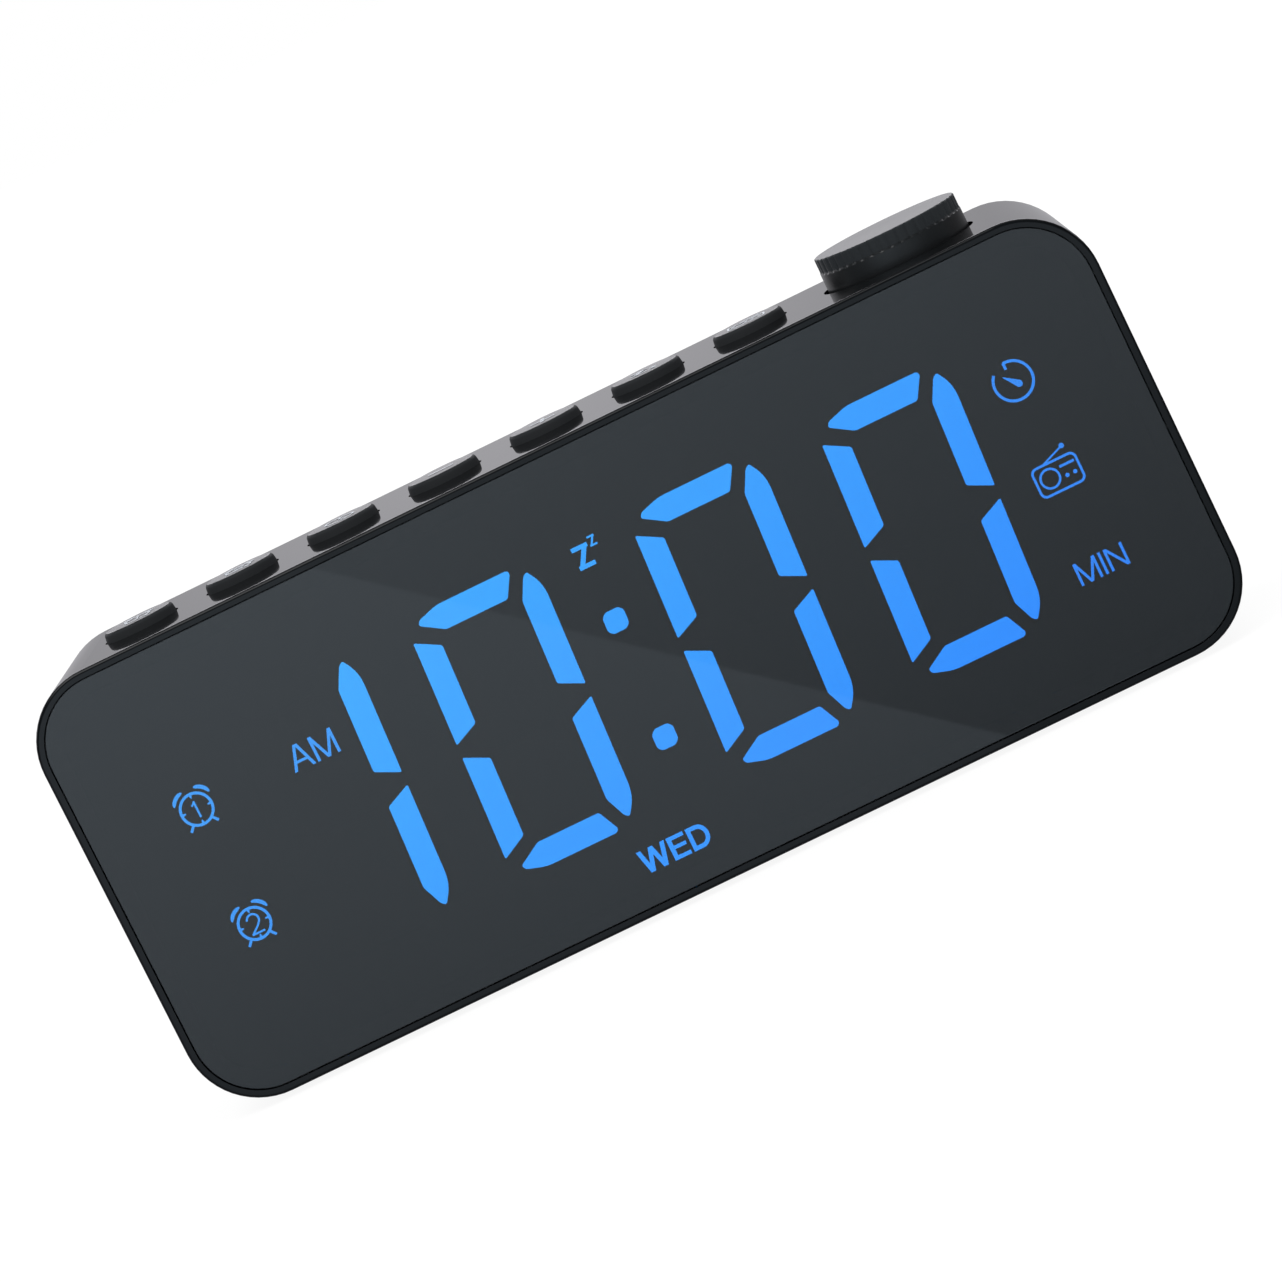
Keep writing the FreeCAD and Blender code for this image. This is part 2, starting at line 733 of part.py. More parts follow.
def shrunk(points, clearance):
    # The outline moved inwards by the clearance on every side.
    corners = [FreeCAD.Vector(across, 0, up) for across, up in points]
    face = Part.Face(Part.makePolygon(corners + corners[:1]))
    inner = face.makeOffset2D(-clearance, join=2)
    return [(vertex.X, vertex.Z) for vertex in inner.OuterWire.OrderedVertexes]


def leaning(points, centre):
    # Moves a digit's outline to its place and leans it to the right.
    slope = cell("digit_slope")
    return [(centre + across + slope * up, digitLevel() + up) for across, up in points]


def dotOutline(height):
    # A square dot with clipped corners, centred on the colon.
    half = cell("dot_size") / 2
    clip = half * 0.6
    points = [(half, -clip), (half, clip), (clip, half), (-clip, half),
              (-half, clip), (-half, -clip), (-clip, -half), (clip, -half)]
    return [(across, up + height) for across, up in points]


def solidFeature(name, solids):
    feature = doc.addObject("Part::Feature", name)
    feature.Shape = solids[0] if len(solids) == 1 else Part.makeCompound(solids)
    return feature


def colonCentre():
    return digitCentres()[1] + digitWidth() / 2 + cell("colon_offset")


def symbolWindows():
    # Windows of the small lit symbols: centre across, centre up, width and height.
    level = cell("foot_height") + cell("case_height") / 2
    leftColumn = cell("symbol_left_margin") - cell("case_width") / 2
    rightColumn = cell("case_width") / 2 - cell("symbol_right_margin")
    digitsTop = cell("foot_height") + cell("case_height") - cell("digits_top_margin")
    symbol = (cell("symbol_width"), cell("symbol_height"))
    word = (cell("word_width"), cell("word_height"))
    return [
        (leftColumn, level + cell("alarm_symbol_rise")) + symbol,
        (leftColumn, level - cell("alarm_symbol_drop")) + symbol,
        (digitCentres()[0], level + cell("morning_rise")) + word,
        (colonCentre() + cell("colon_rise") * cell("digit_slope"), digitsTop - cell("snooze_drop"),
         cell("snooze_size"), cell("snooze_size")),
        (rightColumn, level + cell("timer_symbol_rise")) + symbol,
        (rightColumn, level - cell("radio_symbol_drop")) + symbol,
        (rightColumn, level - cell("minutes_drop")) + word,
        (-cell("weekday_shift"), cell("foot_height") + cell("weekday_margin"),
         cell("weekday_width"), cell("word_height")),
    ]


def display():
    halfDepth = cell("case_depth") / 2
    front = -halfDepth
    for alias in ("lens_set_back", "lens_thickness", "lens_glue", "mask_thickness", "mask_gap"):
        front += cell(alias)
    depth = cell("segment_depth")
    clearance = cell("segment_clearance")
    reach = cell("reflector_depth")
    margin = cell("board_margin")

    cavities = []
    windows = []
    lit = []
    unlit = []
    leds = []
    outlines = segmentOutlines()

    def light(points, solids):
        cavities.append(prism(points, front - margin, reach + 2 * margin))
        windows.append(prism(points, -halfDepth, 2 * reach))
        solids.append(prism(shrunk(points, clearance), front, depth))

    def led(across, up):
        size = cell("led_size")
        height = cell("led_height")
        corner = FreeCAD.Vector(across - size / 2, front + reach - height, up - size / 2)
        leds.append(Part.makeBox(size, height, size, corner))

    for centre, shown in zip(digitCentres(), digitsShown):
        for letter, points in outlines.items():
            placed = leaning(points, centre)
            light(placed, lit if letter in shown else unlit)
            led(sum(point[0] for point in placed) / len(placed), sum(point[1] for point in placed) / len(placed))

    dots = []
    for height in (cell("colon_rise"), -cell("colon_drop")):
        light(leaning(dotOutline(height), colonCentre()), dots)
        led(colonCentre() + cell("digit_slope") * height, digitLevel() + height)

    films = []
    for across, up, width, height in symbolWindows():
        left = across - width / 2
        low = up - height / 2
        points = [(left, low), (left + width, low), (left + width, low + height), (left, low + height)]
        light(points, films)
        led(across, up)

    keep(solidFeature("lit_segments", lit), "lit_segments")
    keep(solidFeature("unlit_segments", unlit), "unlit_segments")
    keep(solidFeature("colon_dots", dots), "colon_dots")
    keep(solidFeature("symbol_diffusers", films), "symbol_diffusers")
    keep(solidFeature("segment_leds", leds), "segment_leds")

    block = centredBox("reflector_block", "dims.case_width - 2 * dims.reflector_end_margin",
                       "dims.reflector_depth",
                       "dims.case_height - dims.reflector_top_margin - dims.reflector_bottom_margin",
                       "0", fromFront("%s + dims.reflector_depth / 2" % reflectorFront),
                       "dims.foot_height + dims.reflector_bottom_margin")
    keep(cutFrom("display_reflector", block, [solidFeature("light_cavities", cavities)]), "display_reflector")

    inset = "(dims.lens_rim + dims.ledge_width + dims.mask_gap)"
    film = roundedPlate("mask_film", "dims.case_width - 2 * %s" % inset, "dims.case_height - 2 * %s" % inset,
                        middle, maskFront, "dims.mask_thickness", "dims.corner_radius - %s" % inset)
    keep(cutFrom("display_mask", film, [solidFeature("mask_windows", windows)]), "display_mask")


def displayBoard():
    body = doc.addObject("PartDesign::Body", "display_board_plate")
    earEdge = "(dims.case_width / 2 - dims.wall - dims.board_margin)"
    waist = "(dims.case_width / 2 - dims.reflector_end_margin - dims.board_margin)"
    bottom = "(dims.foot_height + dims.reflector_bottom_margin - dims.board_margin)"
    shoulder = "(dims.foot_height + dims.case_height / 4 - dims.ear_drop)"
    high = "(%s - dims.reflector_top_margin - dims.board_margin)" % top
    corners = [("-" + earEdge, shoulder), ("-" + waist, shoulder), ("-" + waist, bottom), (waist, bottom),
               (waist, shoulder), (earEdge, shoulder), (earEdge, high), ("-" + earEdge, high)]
    back = "dims.case_depth / 2 - (%s) - dims.board_thickness" % displayBoardFront
    padded(body, outline(body, "display_board_outline", "XZ_Plane", corners, back),
           "display_board_pad", "dims.board_thickness")
    holes = []
    for index, (across, up) in enumerate(displayBossPlaces()):
        holes.append(lying("display_board_hole_%d" % index, "dims.screw_radius + 2 * dims.pilot_clearance",
                           "3 * dims.board_thickness", across,
                           fromFront("%s - dims.board_thickness" % displayBoardFront), up))
    keep(cutFrom("display_board", body, holes), "display_board")

    boardBack = "(%s + dims.board_thickness)" % displayBoardFront

    def head(name, spot):
        return lying(name, "dims.screw_head_radius", "dims.screw_head_height", spot[0], fromFront(boardBack), spot[1])

    def shank(name, spot):
        return lying(name, "dims.screw_radius", "%s - %s + dims.screw_head_height / 2" % (boardBack, ledgeBack),
                     spot[0], fromFront(ledgeBack), spot[1])

    screwSet("display_board_screws", displayBossPlaces(), head, shank)


# ---------------------------------------------------------------- push buttons and key board

def pushButton(index, name):
    body = doc.addObject("PartDesign::Body", name + "_button")
    radius = "(dims.button_diameter / 2)"
    capTop = "(%s + dims.button_rise)" % top
    flangeTop = "(%s - dims.flange_clearance)" % underTop
    flangeBottom = "(%s - dims.flange_thickness)" % flangeTop
    ceiling = "(%s - dims.button_wall)" % capTop
    flangeRadius = "(%s + dims.flange_reach)" % radius
    topRadius = "(%s - dims.button_draft)" % radius
    profile = [("0", capTop), ("%s - dims.button_edge" % topRadius, capTop),
               (topRadius, "%s - dims.button_edge" % capTop), (radius, top), (radius, flangeTop),
               (flangeRadius, flangeTop),
               (flangeRadius, flangeBottom), ("%s - dims.button_wall" % radius, flangeBottom),
               ("%s - dims.button_wall" % radius, ceiling), ("dims.stem_radius", ceiling),
               ("dims.stem_radius", plungerTop), ("0", plungerTop)]
    sketch = outline(body, name + "_button_profile", "XZ_Plane", profile)
    revolved(body, sketch, name + "_button_turned")
    place(body, buttonAcross(index), "0", "0")
    keep(body, name + "_button")

    plungerHeight = "dims.plunger_rise + dims.plunger_depth"
    plunger = upright(name + "_plunger", "dims.plunger_radius", plungerHeight, buttonAcross(index), "0",
                      "%s - dims.plunger_depth" % switchTop)
    keep(plunger, name + "_plunger")


def keyBoard():
    width = "dims.case_width - 2 * dims.key_board_end_margin"
    plate = centredBox("key_board_plate", width, keyBoardDepth, "dims.board_thickness", "0", "0", keyBoardBottom)
    holes = []
    for index, (across, back) in enumerate(keyBossPlaces()):
        holes.append(upright("key_board_hole_%d" % index, "dims.screw_radius + 2 * dims.pilot_clearance",
                             "3 * dims.board_thickness", across, back, "%s - 2 * dims.board_thickness" % keyBoardTop))
    keep(cutFrom("key_board", plate, holes), "key_board")

    housings = []
    wellDepth = "(dims.plunger_depth + dims.button_travel + dims.travel_spare)"
    for index in range(len(buttonNames)):
        block = centredBox("switch_block_%d" % index, "dims.switch_width", "dims.switch_width",
                           "dims.switch_height", buttonAcross(index), "0", keyBoardTop)
        well = upright("switch_well_%d" % index, "dims.plunger_radius + dims.sliding_clearance",
                       "%s + 1" % wellDepth, buttonAcross(index), "0", "%s - %s" % (switchTop, wellDepth))
        housings.append(cutFrom("switch_%d" % index, block, [well]))
    keep(group("switch_housings", housings), "switch_housings")

    def head(name, spot):
        return upright(name, "dims.screw_head_radius", "dims.screw_head_height", spot[0], spot[1],
                       "%s - dims.screw_head_height" % keyBoardBottom)

    def shank(name, spot):
        return upright(name, "dims.screw_radius",
                       "dims.board_thickness + dims.screw_head_height / 2 + dims.key_screw_reach",
                       spot[0], spot[1], "%s - dims.screw_head_height / 2" % keyBoardBottom)

    screwSet("key_board_screws", keyBossPlaces(), head, shank)


# ---------------------------------------------------------------- rotary encoder and knob

def encoder():
    width = "dims.encoder_width"
    block = centredBox("encoder_block", width, width, "dims.encoder_base_height", knobAcross, "0", keyBoardTop)
    well = upright("encoder_well", "dims.rotor_pocket_radius", "dims.encoder_base_height", knobAcross, "0",
                   "%s + dims.encoder_floor" % keyBoardTop)
    keep(cutFrom("encoder_base", block, [well]), "encoder_base")

    plate = centredBox("encoder_top_plate", width, width, "dims.encoder_plate", knobAcross, "0", encoderSplit)
    neck = upright("encoder_neck", "dims.bushing_radius", "%s - %s" % (bushingTop, encoderSplit),
                   knobAcross, "0", encoderSplit)
    bore = upright("encoder_bore", "dims.shaft_radius + dims.sliding_clearance",
                   "%s - %s + 2" % (bushingTop, encoderSplit), knobAcross, "0", "%s - 1" % encoderSplit)
    keep(cutFrom("encoder_bushing", joined("encoder_plate_and_neck", [plate, neck]), [bore]), "encoder_bushing")

    shaftBottom = "(%s + dims.encoder_floor + dims.knob_travel + dims.travel_spare)" % keyBoardTop
    shaftTop = "(%s + dims.shaft_engagement)" % hubBottom
    flatRadius = "(dims.shaft_radius - dims.shaft_flat)"

    # The rotor has a D-shaped hole, so that it turns with the shaft while the shaft slides.
    disc = upright("rotor_disc", "dims.rotor_radius", rotorHeight, knobAcross, "0", rotorBottom)
    hole = upright("rotor_hole", "dims.shaft_radius + dims.sliding_clearance", "3 * %s" % rotorHeight,
                   knobAcross, "0", "%s - %s" % (rotorBottom, rotorHeight))
    key = box("rotor_key", "2 * dims.rotor_radius", "dims.rotor_radius", "4 * %s" % rotorHeight,
              "%s - dims.rotor_radius" % knobAcross, "-dims.rotor_radius - %s - dims.sliding_clearance" % flatRadius,
              "%s - 1.5 * %s" % (rotorBottom, rotorHeight))
    keep(cutFrom("encoder_rotor", disc, [cutFrom("rotor_d_hole", hole, [key])]), "encoder_rotor")

    rod = upright("shaft_rod", "dims.shaft_radius", "%s - %s" % (shaftTop, shaftBottom), knobAcross, "0", shaftBottom)
    flats = []
    flatTop = "%s + dims.knob_travel + dims.travel_spare" % encoderSplit
    for name, low, high in (("lower", "%s - 1" % shaftBottom, flatTop),
                            ("upper", hubBottom, "%s + 1" % shaftTop)):
        flats.append(box("shaft_flat_" + name, "4 * dims.shaft_radius", "2 * dims.shaft_radius",
                         "(%s) - (%s)" % (high, low), "%s - 2 * dims.shaft_radius" % knobAcross,
                         "-2 * dims.shaft_radius - %s" % flatRadius, low))
    keep(cutFrom("encoder_shaft", rod, flats), "encoder_shaft")


def knob():
    body = doc.addObject("PartDesign::Body", "knob_turning")
    grip = "(dims.knob_diameter / 2)"
    skirt = "(%s + dims.grip_step)" % grip
    gripBottom = "(%s - dims.grip_height)" % knobTop
    inner = "(%s - dims.knob_wall)" % grip
    ceiling = "(%s + dims.shaft_engagement)" % hubBottom
    profile = [("0", knobTop), ("%s - dims.knob_edge" % grip, knobTop), (grip, "%s - dims.knob_edge" % knobTop),
               (grip, gripBottom), (skirt, "%s - dims.grip_slope" % gripBottom), (skirt, knobBottom),
               (inner, knobBottom), (inner, ceiling), ("dims.hub_radius", ceiling),
               ("dims.hub_radius", hubBottom), ("0", hubBottom)]
    revolved(body, outline(body, "knob_profile", "XZ_Plane", profile), "knob_turned")

    # One V groove of the knurl, then the same groove all the way round.
    tip = "(%s - dims.knurl_depth)" % grip
    mouth = "(%s + dims.knurl_depth)" % grip
    groove = [(tip, "0"), (mouth, "-dims.knurl_width"), (mouth, "dims.knurl_width")]
    sketch = outline(body, "knurl_profile", "XY_Plane", groove, knobTop)
    cut = pocketed(body, sketch, "knurl_groove", "dims.grip_height", False)
    pattern = body.newObject("PartDesign::PolarPattern", "knurl")
    pattern.Originals = [cut]
    pattern.Axis = (originFeature(body, "Z_Axis"), [""])
    pattern.Angle = 360
    pattern.Occurrences = knurlCount
    body.Tip = pattern
    doc.recompute()
    place(body, knobAcross, "0", "0")

    socketRadius = "dims.shaft_radius + dims.shaft_fit"
    socket = upright("knob_socket_round", socketRadius, "dims.shaft_engagement + 1", knobAcross, "0",
                     "%s - 1" % hubBottom)
    key = box("knob_socket_key", "4 * dims.shaft_radius", "2 * dims.shaft_radius", "dims.shaft_engagement + 3",
              "%s - 2 * dims.shaft_radius" % knobAcross,
              "-3 * dims.shaft_radius + dims.shaft_flat - dims.shaft_fit", "%s - 2" % hubBottom)
    keep(cutFrom("knob_cap", body, [cutFrom("knob_socket", socket, [key])]), "knob_cap")


# ---------------------------------------------------------------- rear cover and its fittings

def rearCover():
    inset = "(dims.wall + dims.cover_gap)"
    plate = roundedPlate("cover_plate", "dims.case_width - 2 * %s" % inset, "dims.case_height - 2 * %s" % inset,
                         middle, coverFront, "dims.cover_thickness", "dims.corner_radius - %s" % inset)
    solids = [plate]
    cuts = []
    through = "3 * dims.cover_thickness"
    cutStart = fromFront("%s - dims.cover_thickness" % coverFront)

    for index, (across, up) in enumerate(coverBossPlaces()):
        cuts.append(lying("cover_hole_%d" % index, "dims.screw_radius + 2 * dims.pilot_clearance", through,
                          across, cutStart, up))
        cuts.append(lying("cover_sink_%d" % index, "dims.screw_head_radius + dims.cover_gap", through,
                          across, fromFront("dims.case_depth - dims.cover_screw_sink"), up))

    # Posts that carry the main board.
    for index, (across, up) in enumerate(mainBoardPlaces()):
        solids.append(lying("board_post_%d" % index, "dims.board_boss_radius",
                            "dims.main_board_stand + dims.cover_thickness / 2", across,
                            fromFront(mainBoardBack), up))
        cuts.append(lying("board_post_pilot_%d" % index, "dims.screw_radius + dims.pilot_clearance",
                          "dims.main_board_stand - 2", across, fromFront(mainBoardBack), up))

    # Slots of the speaker grille, each as long as the circle is wide at its height.
    radius = cell("grille_radius")
    pitch = cell("grille_pitch")
    rows = int(radius // pitch)
    for row in range(-rows, rows + 1):
        half = "sqrt(dims.grille_radius ^ 2 - (%d * dims.grille_pitch) ^ 2)" % row
        reach = "(%s - dims.grille_slot / 2)" % half
        up = "dims.speaker_centre_up + %d * dims.grille_pitch" % row
        label = "grille_%d" % (row + rows)
        cuts.append(box(label, "2 * %s" % reach, through, "dims.grille_slot",
                        "%s - %s" % (speakerAcross, reach), cutStart, "%s - dims.grille_slot / 2" % up))
        for side in ("-", "+"):
            cuts.append(lying("%s_end_%s" % (label, "left" if side == "-" else "right"), "dims.grille_slot / 2",
                              through, "%s %s %s" % (speakerAcross, side, reach), cutStart, up))

    # Low posts beside the speaker for its clamping screws.
    for index, (across, up) in enumerate(speakerScrewPlaces()):
        solids.append(lying("speaker_post_%d" % index, "dims.speaker_post_radius",
                            "dims.speaker_flange + dims.cover_thickness / 2",
                            across, fromFront("%s - dims.speaker_flange" % coverFront), up))
        cuts.append(lying("speaker_pilot_%d" % index, "dims.speaker_screw_radius + dims.pilot_clearance",
                          "dims.speaker_flange + dims.speaker_screw_bite + dims.pilot_clearance", across,
                          fromFront("%s - dims.speaker_flange" % coverFront), up))

    # Holes for the power jack and the charging port.
    cuts.append(lying("jack_hole", "dims.jack_nose_radius + dims.port_gap", through,
                      jackAcross, cutStart, "dims.jack_centre_up"))
    cuts.append(centredBox("port_hole", "dims.port_width + 2 * dims.port_gap", through,
                           "dims.port_height + 2 * dims.port_gap", portAcross,
                           fromFront(coverFront), "dims.jack_centre_up - dims.port_height / 2 - dims.port_gap"))

    # Battery bay: a box behind the cover with a stepped mouth for its door.
    bayFront = "(dims.case_depth - dims.bay_depth)"
    solids.append(centredBox("bay_box", "%s + 2 * dims.bay_wall" % bayWidth, "dims.bay_depth",
                             "dims.bay_height + 2 * dims.bay_wall", cellAcross,
                             fromFront("%s - dims.bay_wall + dims.bay_depth / 2" % bayFront),
                             "dims.cell_centre_up - dims.bay_height / 2 - dims.bay_wall"))
    ledge = "2 * dims.door_ledge"
    cuts.append(centredBox("bay_well", "%s - %s" % (bayWidth, ledge), "2 * dims.bay_depth",
                           "dims.bay_height - %s" % ledge, cellAcross,
                           fromFront("%s + dims.bay_depth" % bayFront),
                           "dims.cell_centre_up - dims.bay_height / 2 + dims.door_ledge"))
    cuts.append(centredBox("door_mouth", bayWidth, "2 * dims.door_thickness", "dims.bay_height",
                           cellAcross, fromFront("dims.case_depth"),
                           "dims.cell_centre_up - dims.bay_height / 2"))
    keep(cutFrom("rear_cover", joined("cover_with_posts", solids), cuts), "rear_cover")

    door = centredBox("door_plate", "%s - 2 * dims.door_gap" % bayWidth, "dims.door_thickness",
                      "dims.bay_height - 2 * dims.door_gap", cellAcross,
                      fromFront("dims.case_depth - dims.door_thickness / 2"),
                      "dims.cell_centre_up - dims.bay_height / 2 + dims.door_gap")
    notch = centredBox("door_notch", "dims.notch_width", "2 * dims.notch_depth", "dims.notch_height", cellAcross,
                       fromFront("dims.case_depth"),
                       "dims.cell_centre_up + dims.bay_height / 2 - dims.door_gap - dims.notch_drop")
    keep(cutFrom("battery_door", door, [notch]), "battery_door")


def coverScrews():
    headFront = "(dims.case_depth - dims.cover_screw_sink)"

    def head(name, spot):
        return lying(name, "dims.screw_head_radius", "dims.cover_screw_sink - 0.2", spot[0],
                     fromFront(headFront), spot[1])

    def shank(name, spot):
        start = "(%s - dims.cover_screw_length + 1)" % coverFront
        return lying(name, "dims.screw_radius", "%s - %s + 0.5" % (headFront, start), spot[0],
                     fromFront(start), spot[1])

    screwSet("cover_screws", coverBossPlaces(), head, shank)


def speakerScrewPlaces():
    places = []
    for index in range(3):
        turn = 90 + 120 * index
        reach = "(dims.speaker_radius + dims.speaker_screw_reach)"
        across = "%s + %s * %.6f" % (speakerAcross, reach, math.cos(math.radians(turn)))
        up = "dims.speaker_centre_up + %s * %.6f" % (reach, math.sin(math.radians(turn)))
        places.append((across, up))
    return places


def speakerTurning(name, profile):
    # A turned piece of the speaker: its profile runs forward from the rear cover.
    body = doc.addObject("PartDesign::Body", name)
    revolved(body, outline(body, name + "_profile", "XZ_Plane", profile), name + "_turned")
    body.Placement = FreeCAD.Placement(FreeCAD.Vector(), FreeCAD.Rotation(FreeCAD.Vector(1, 0, 0), 90))
    place(body, speakerAcross, fromFront(coverFront), "dims.speaker_centre_up")
    keep(body, name)


def speaker():
    edge = "dims.speaker_radius"
    flange = "dims.speaker_flange"
    recess = "dims.surround_recess"
    shoulder = "(dims.speaker_radius - dims.basket_shoulder)"
    floorRadius = "dims.basket_floor_radius"
    basketInside = "(dims.basket_depth - dims.basket_wall)"
    speakerTurning("speaker_frame", [
        (edge, "0"), (edge, flange), (shoulder, flange), (floorRadius, "dims.basket_depth"),
        ("dims.coil_radius", "dims.basket_depth"), ("dims.coil_radius", basketInside),
        ("%s - dims.basket_wall / 2" % floorRadius, basketInside), ("%s - dims.basket_wall / 2" % shoulder, recess),
        ("%s - dims.surround_width" % edge, recess), ("%s - dims.surround_width" % edge, "0")])

    # The cone: a flat surround, a slope down to the coil and a dome that rises again in the middle.
    rim = "(dims.speaker_radius - dims.surround_width - dims.cone_clearance)"
    slope = "(%s - dims.basket_wall - dims.cone_clearance)" % shoulder
    neck = "(dims.coil_radius - dims.cone_clearance)"
    speakerTurning("speaker_cone", [
        (rim, "dims.cone_clearance"), (rim, recess), ("%s + dims.cone_thickness" % slope, recess),
        (neck, "dims.cone_depth"), ("0", "dims.cone_depth - dims.dome_rise"),
        ("0", "dims.cone_depth - dims.dome_rise - dims.cone_thickness"),
        (neck, "dims.cone_depth - dims.cone_thickness"), (slope, "dims.cone_clearance")])
    magnetBack = "(dims.basket_depth + dims.magnet_thickness)"
    speakerTurning("speaker_magnet", [
        ("0", "dims.basket_depth"), ("dims.magnet_radius - dims.magnet_edge", "dims.basket_depth"),
        ("dims.magnet_radius", "dims.basket_depth + dims.magnet_edge"),
        ("dims.magnet_radius", "%s - dims.magnet_edge" % magnetBack),
        ("dims.magnet_radius - dims.magnet_edge", magnetBack), ("0", magnetBack)])

    screws = []
    headHeight = "dims.speaker_screw_head_height"
    for index, (across, up) in enumerate(speakerScrewPlaces()):
        head = lying("speaker_head_%d" % index, "dims.speaker_screw_head_radius", headHeight, across,
                     fromFront("%s - dims.speaker_flange - %s" % (coverFront, headHeight)), up)
        shank = lying("speaker_shank_%d" % index, "dims.speaker_screw_radius",
                      "dims.speaker_flange + %s / 2 + dims.speaker_screw_bite" % headHeight, across,
                      fromFront("%s - dims.speaker_flange - %s / 2" % (coverFront, headHeight)), up)
        screws.append(joined("speaker_screw_%d" % index, [head, shank]))
    keep(group("speaker_screws", screws), "speaker_screws")


def mainBoard():
    plate = box("main_board_plate", "%s - %s" % (mainBoardRight, mainBoardLeft), "dims.board_thickness",
                "%s - dims.main_board_bottom" % mainBoardTop, mainBoardLeft, fromFront(mainBoardFront),
                "dims.main_board_bottom")
    holes = []
    for index, (across, up) in enumerate(mainBoardPlaces()):
        holes.append(lying("main_board_hole_%d" % index, "dims.screw_radius + 2 * dims.pilot_clearance",
                           "3 * dims.board_thickness", across,
                           fromFront("%s - dims.board_thickness" % mainBoardFront), up))
    keep(cutFrom("main_board", plate, holes), "main_board")

    def head(name, spot):
        return lying(name, "dims.screw_head_radius", "dims.screw_head_height", spot[0],
                     fromFront("%s - dims.screw_head_height" % mainBoardFront), spot[1])

    def shank(name, spot):
        return lying(name, "dims.screw_radius",
                     "dims.screw_head_height / 2 + dims.board_thickness + dims.main_screw_reach",
                     spot[0], fromFront("%s - dims.screw_head_height / 2" % mainBoardFront), spot[1])

    screwSet("main_board_screws", mainBoardPlaces(), head, shank)

    def onBoard(name, width, height, thickness, left, drop):
        part = box(name, width, thickness, height, left, fromFront(mainBoardBack), "%s - %s" % (mainBoardTop, drop))
        return keep(part, name)

    onBoard("clock_chip", "dims.clock_chip_size", "dims.clock_chip_size", "dims.clock_chip_thickness",
            "%s - dims.clock_chip_inset" % mainBoardRight, "dims.clock_chip_drop")
    onBoard("tuner_shield", "dims.tuner_width", "dims.tuner_height", "dims.tuner_thickness",
            "%s + dims.tuner_across" % mainBoardLeft, "dims.tuner_drop")
    onBoard("amplifier_chip", "dims.amplifier_width", "dims.amplifier_height", "dims.amplifier_thickness",
            "%s + dims.amplifier_across" % mainBoardLeft, "dims.amplifier_drop")
    crystal = lying("clock_crystal", "dims.crystal_radius", "dims.crystal_length",
                    "%s - dims.crystal_inset" % mainBoardRight, fromFront(mainBoardBack),
                    "%s - dims.crystal_drop" % mainBoardTop)
    keep(crystal, "clock_crystal")
    cans = []
    for index in range(2):
        cans.append(lying("capacitor_%d" % index, "dims.capacitor_radius", "dims.capacitor_length",
                          "%s + dims.capacitor_across" % mainBoardLeft, fromFront(mainBoardBack),
                          "%s - dims.capacitor_drop - %d * dims.capacitor_pitch" % (mainBoardTop, index)))
    keep(group("capacitors", cans), "capacitors")


def ribbons():
    # A flat cable that loops over from the display board to the main board, and a straight one
    # from the key board down to the main board.
    ribbonAcross = "(dims.case_width / 2 - dims.ribbon_inset)"
    socketWidth = "dims.ribbon_width + 2 * dims.socket_margin"
    boardBack = "(%s + dims.board_thickness)" % displayBoardFront
    nearBoard = "(%s + dims.socket_height / 2 - dims.ribbon_thickness / 2)" % boardBack
    farBoard = "(%s - dims.socket_height / 2 + dims.ribbon_thickness / 2)" % mainBoardFront
    low = "(dims.ribbon_socket_up + dims.socket_length)"
    high = "(%s + dims.ribbon_rise)" % low
    body = doc.addObject("PartDesign::Body", "display_ribbon")
    near = fromFront(nearBoard)
    far = fromFront(farBoard)
    strip = "dims.ribbon_thickness"
    profile = [(near, low), ("%s + %s" % (near, strip), low), ("%s + %s" % (near, strip), "%s - %s" % (high, strip)),
               ("%s - %s" % (far, strip), "%s - %s" % (high, strip)), ("%s - %s" % (far, strip), low), (far, low),
               (far, high), (near, high)]
    left = "%s - dims.ribbon_width / 2" % ribbonAcross
    pad = padded(body, outline(body, "ribbon_profile", "YZ_Plane", profile, left), "ribbon_pad", "dims.ribbon_width")
    height = pad.Shape.BoundBox.ZMax
    pad = rounded(body, pad, "ribbon_outer_bends", edgesAlongWidth(pad.Shape, height), "dims.ribbon_bend")
    inner = edgesAlongWidth(pad.Shape, height - cell("ribbon_thickness"))
    rounded(body, pad, "ribbon_inner_bends", inner, "dims.ribbon_bend - dims.ribbon_thickness")
    keep(body, "display_ribbon")

    keyRibbonAcross = buttonAcross(len(buttonNames) - 2)
    keySocketTop = "(%s - dims.key_socket_drop)" % mainBoardTop
    middleOfSocket = "(%s - dims.socket_height / 2)" % mainBoardFront
    keep(centredBox("key_ribbon", "dims.ribbon_width", strip, "%s - dims.socket_height - %s"
                    % (keyBoardBottom, keySocketTop), keyRibbonAcross, fromFront(middleOfSocket), keySocketTop),
         "key_ribbon")

    def socket(name, across, back, bottom, depth, height):
        return centredBox(name, socketWidth, depth, height, across, fromFront(back), bottom)

    sockets = [
        socket("display_socket", ribbonAcross, "%s + dims.socket_height / 2" % boardBack,
               "dims.ribbon_socket_up", "dims.socket_height", "dims.socket_length"),
        socket("main_socket", ribbonAcross, middleOfSocket,
               "dims.ribbon_socket_up", "dims.socket_height", "dims.socket_length"),
        socket("main_key_socket", keyRibbonAcross, middleOfSocket,
               "%s - dims.socket_length" % keySocketTop, "dims.socket_height", "dims.socket_length"),
        socket("key_socket", keyRibbonAcross, middleOfSocket,
               "%s - dims.socket_height" % keyBoardBottom, "dims.socket_length / 2", "dims.socket_height"),
    ]
    keep(group("ribbon_sockets", sockets), "ribbon_sockets")


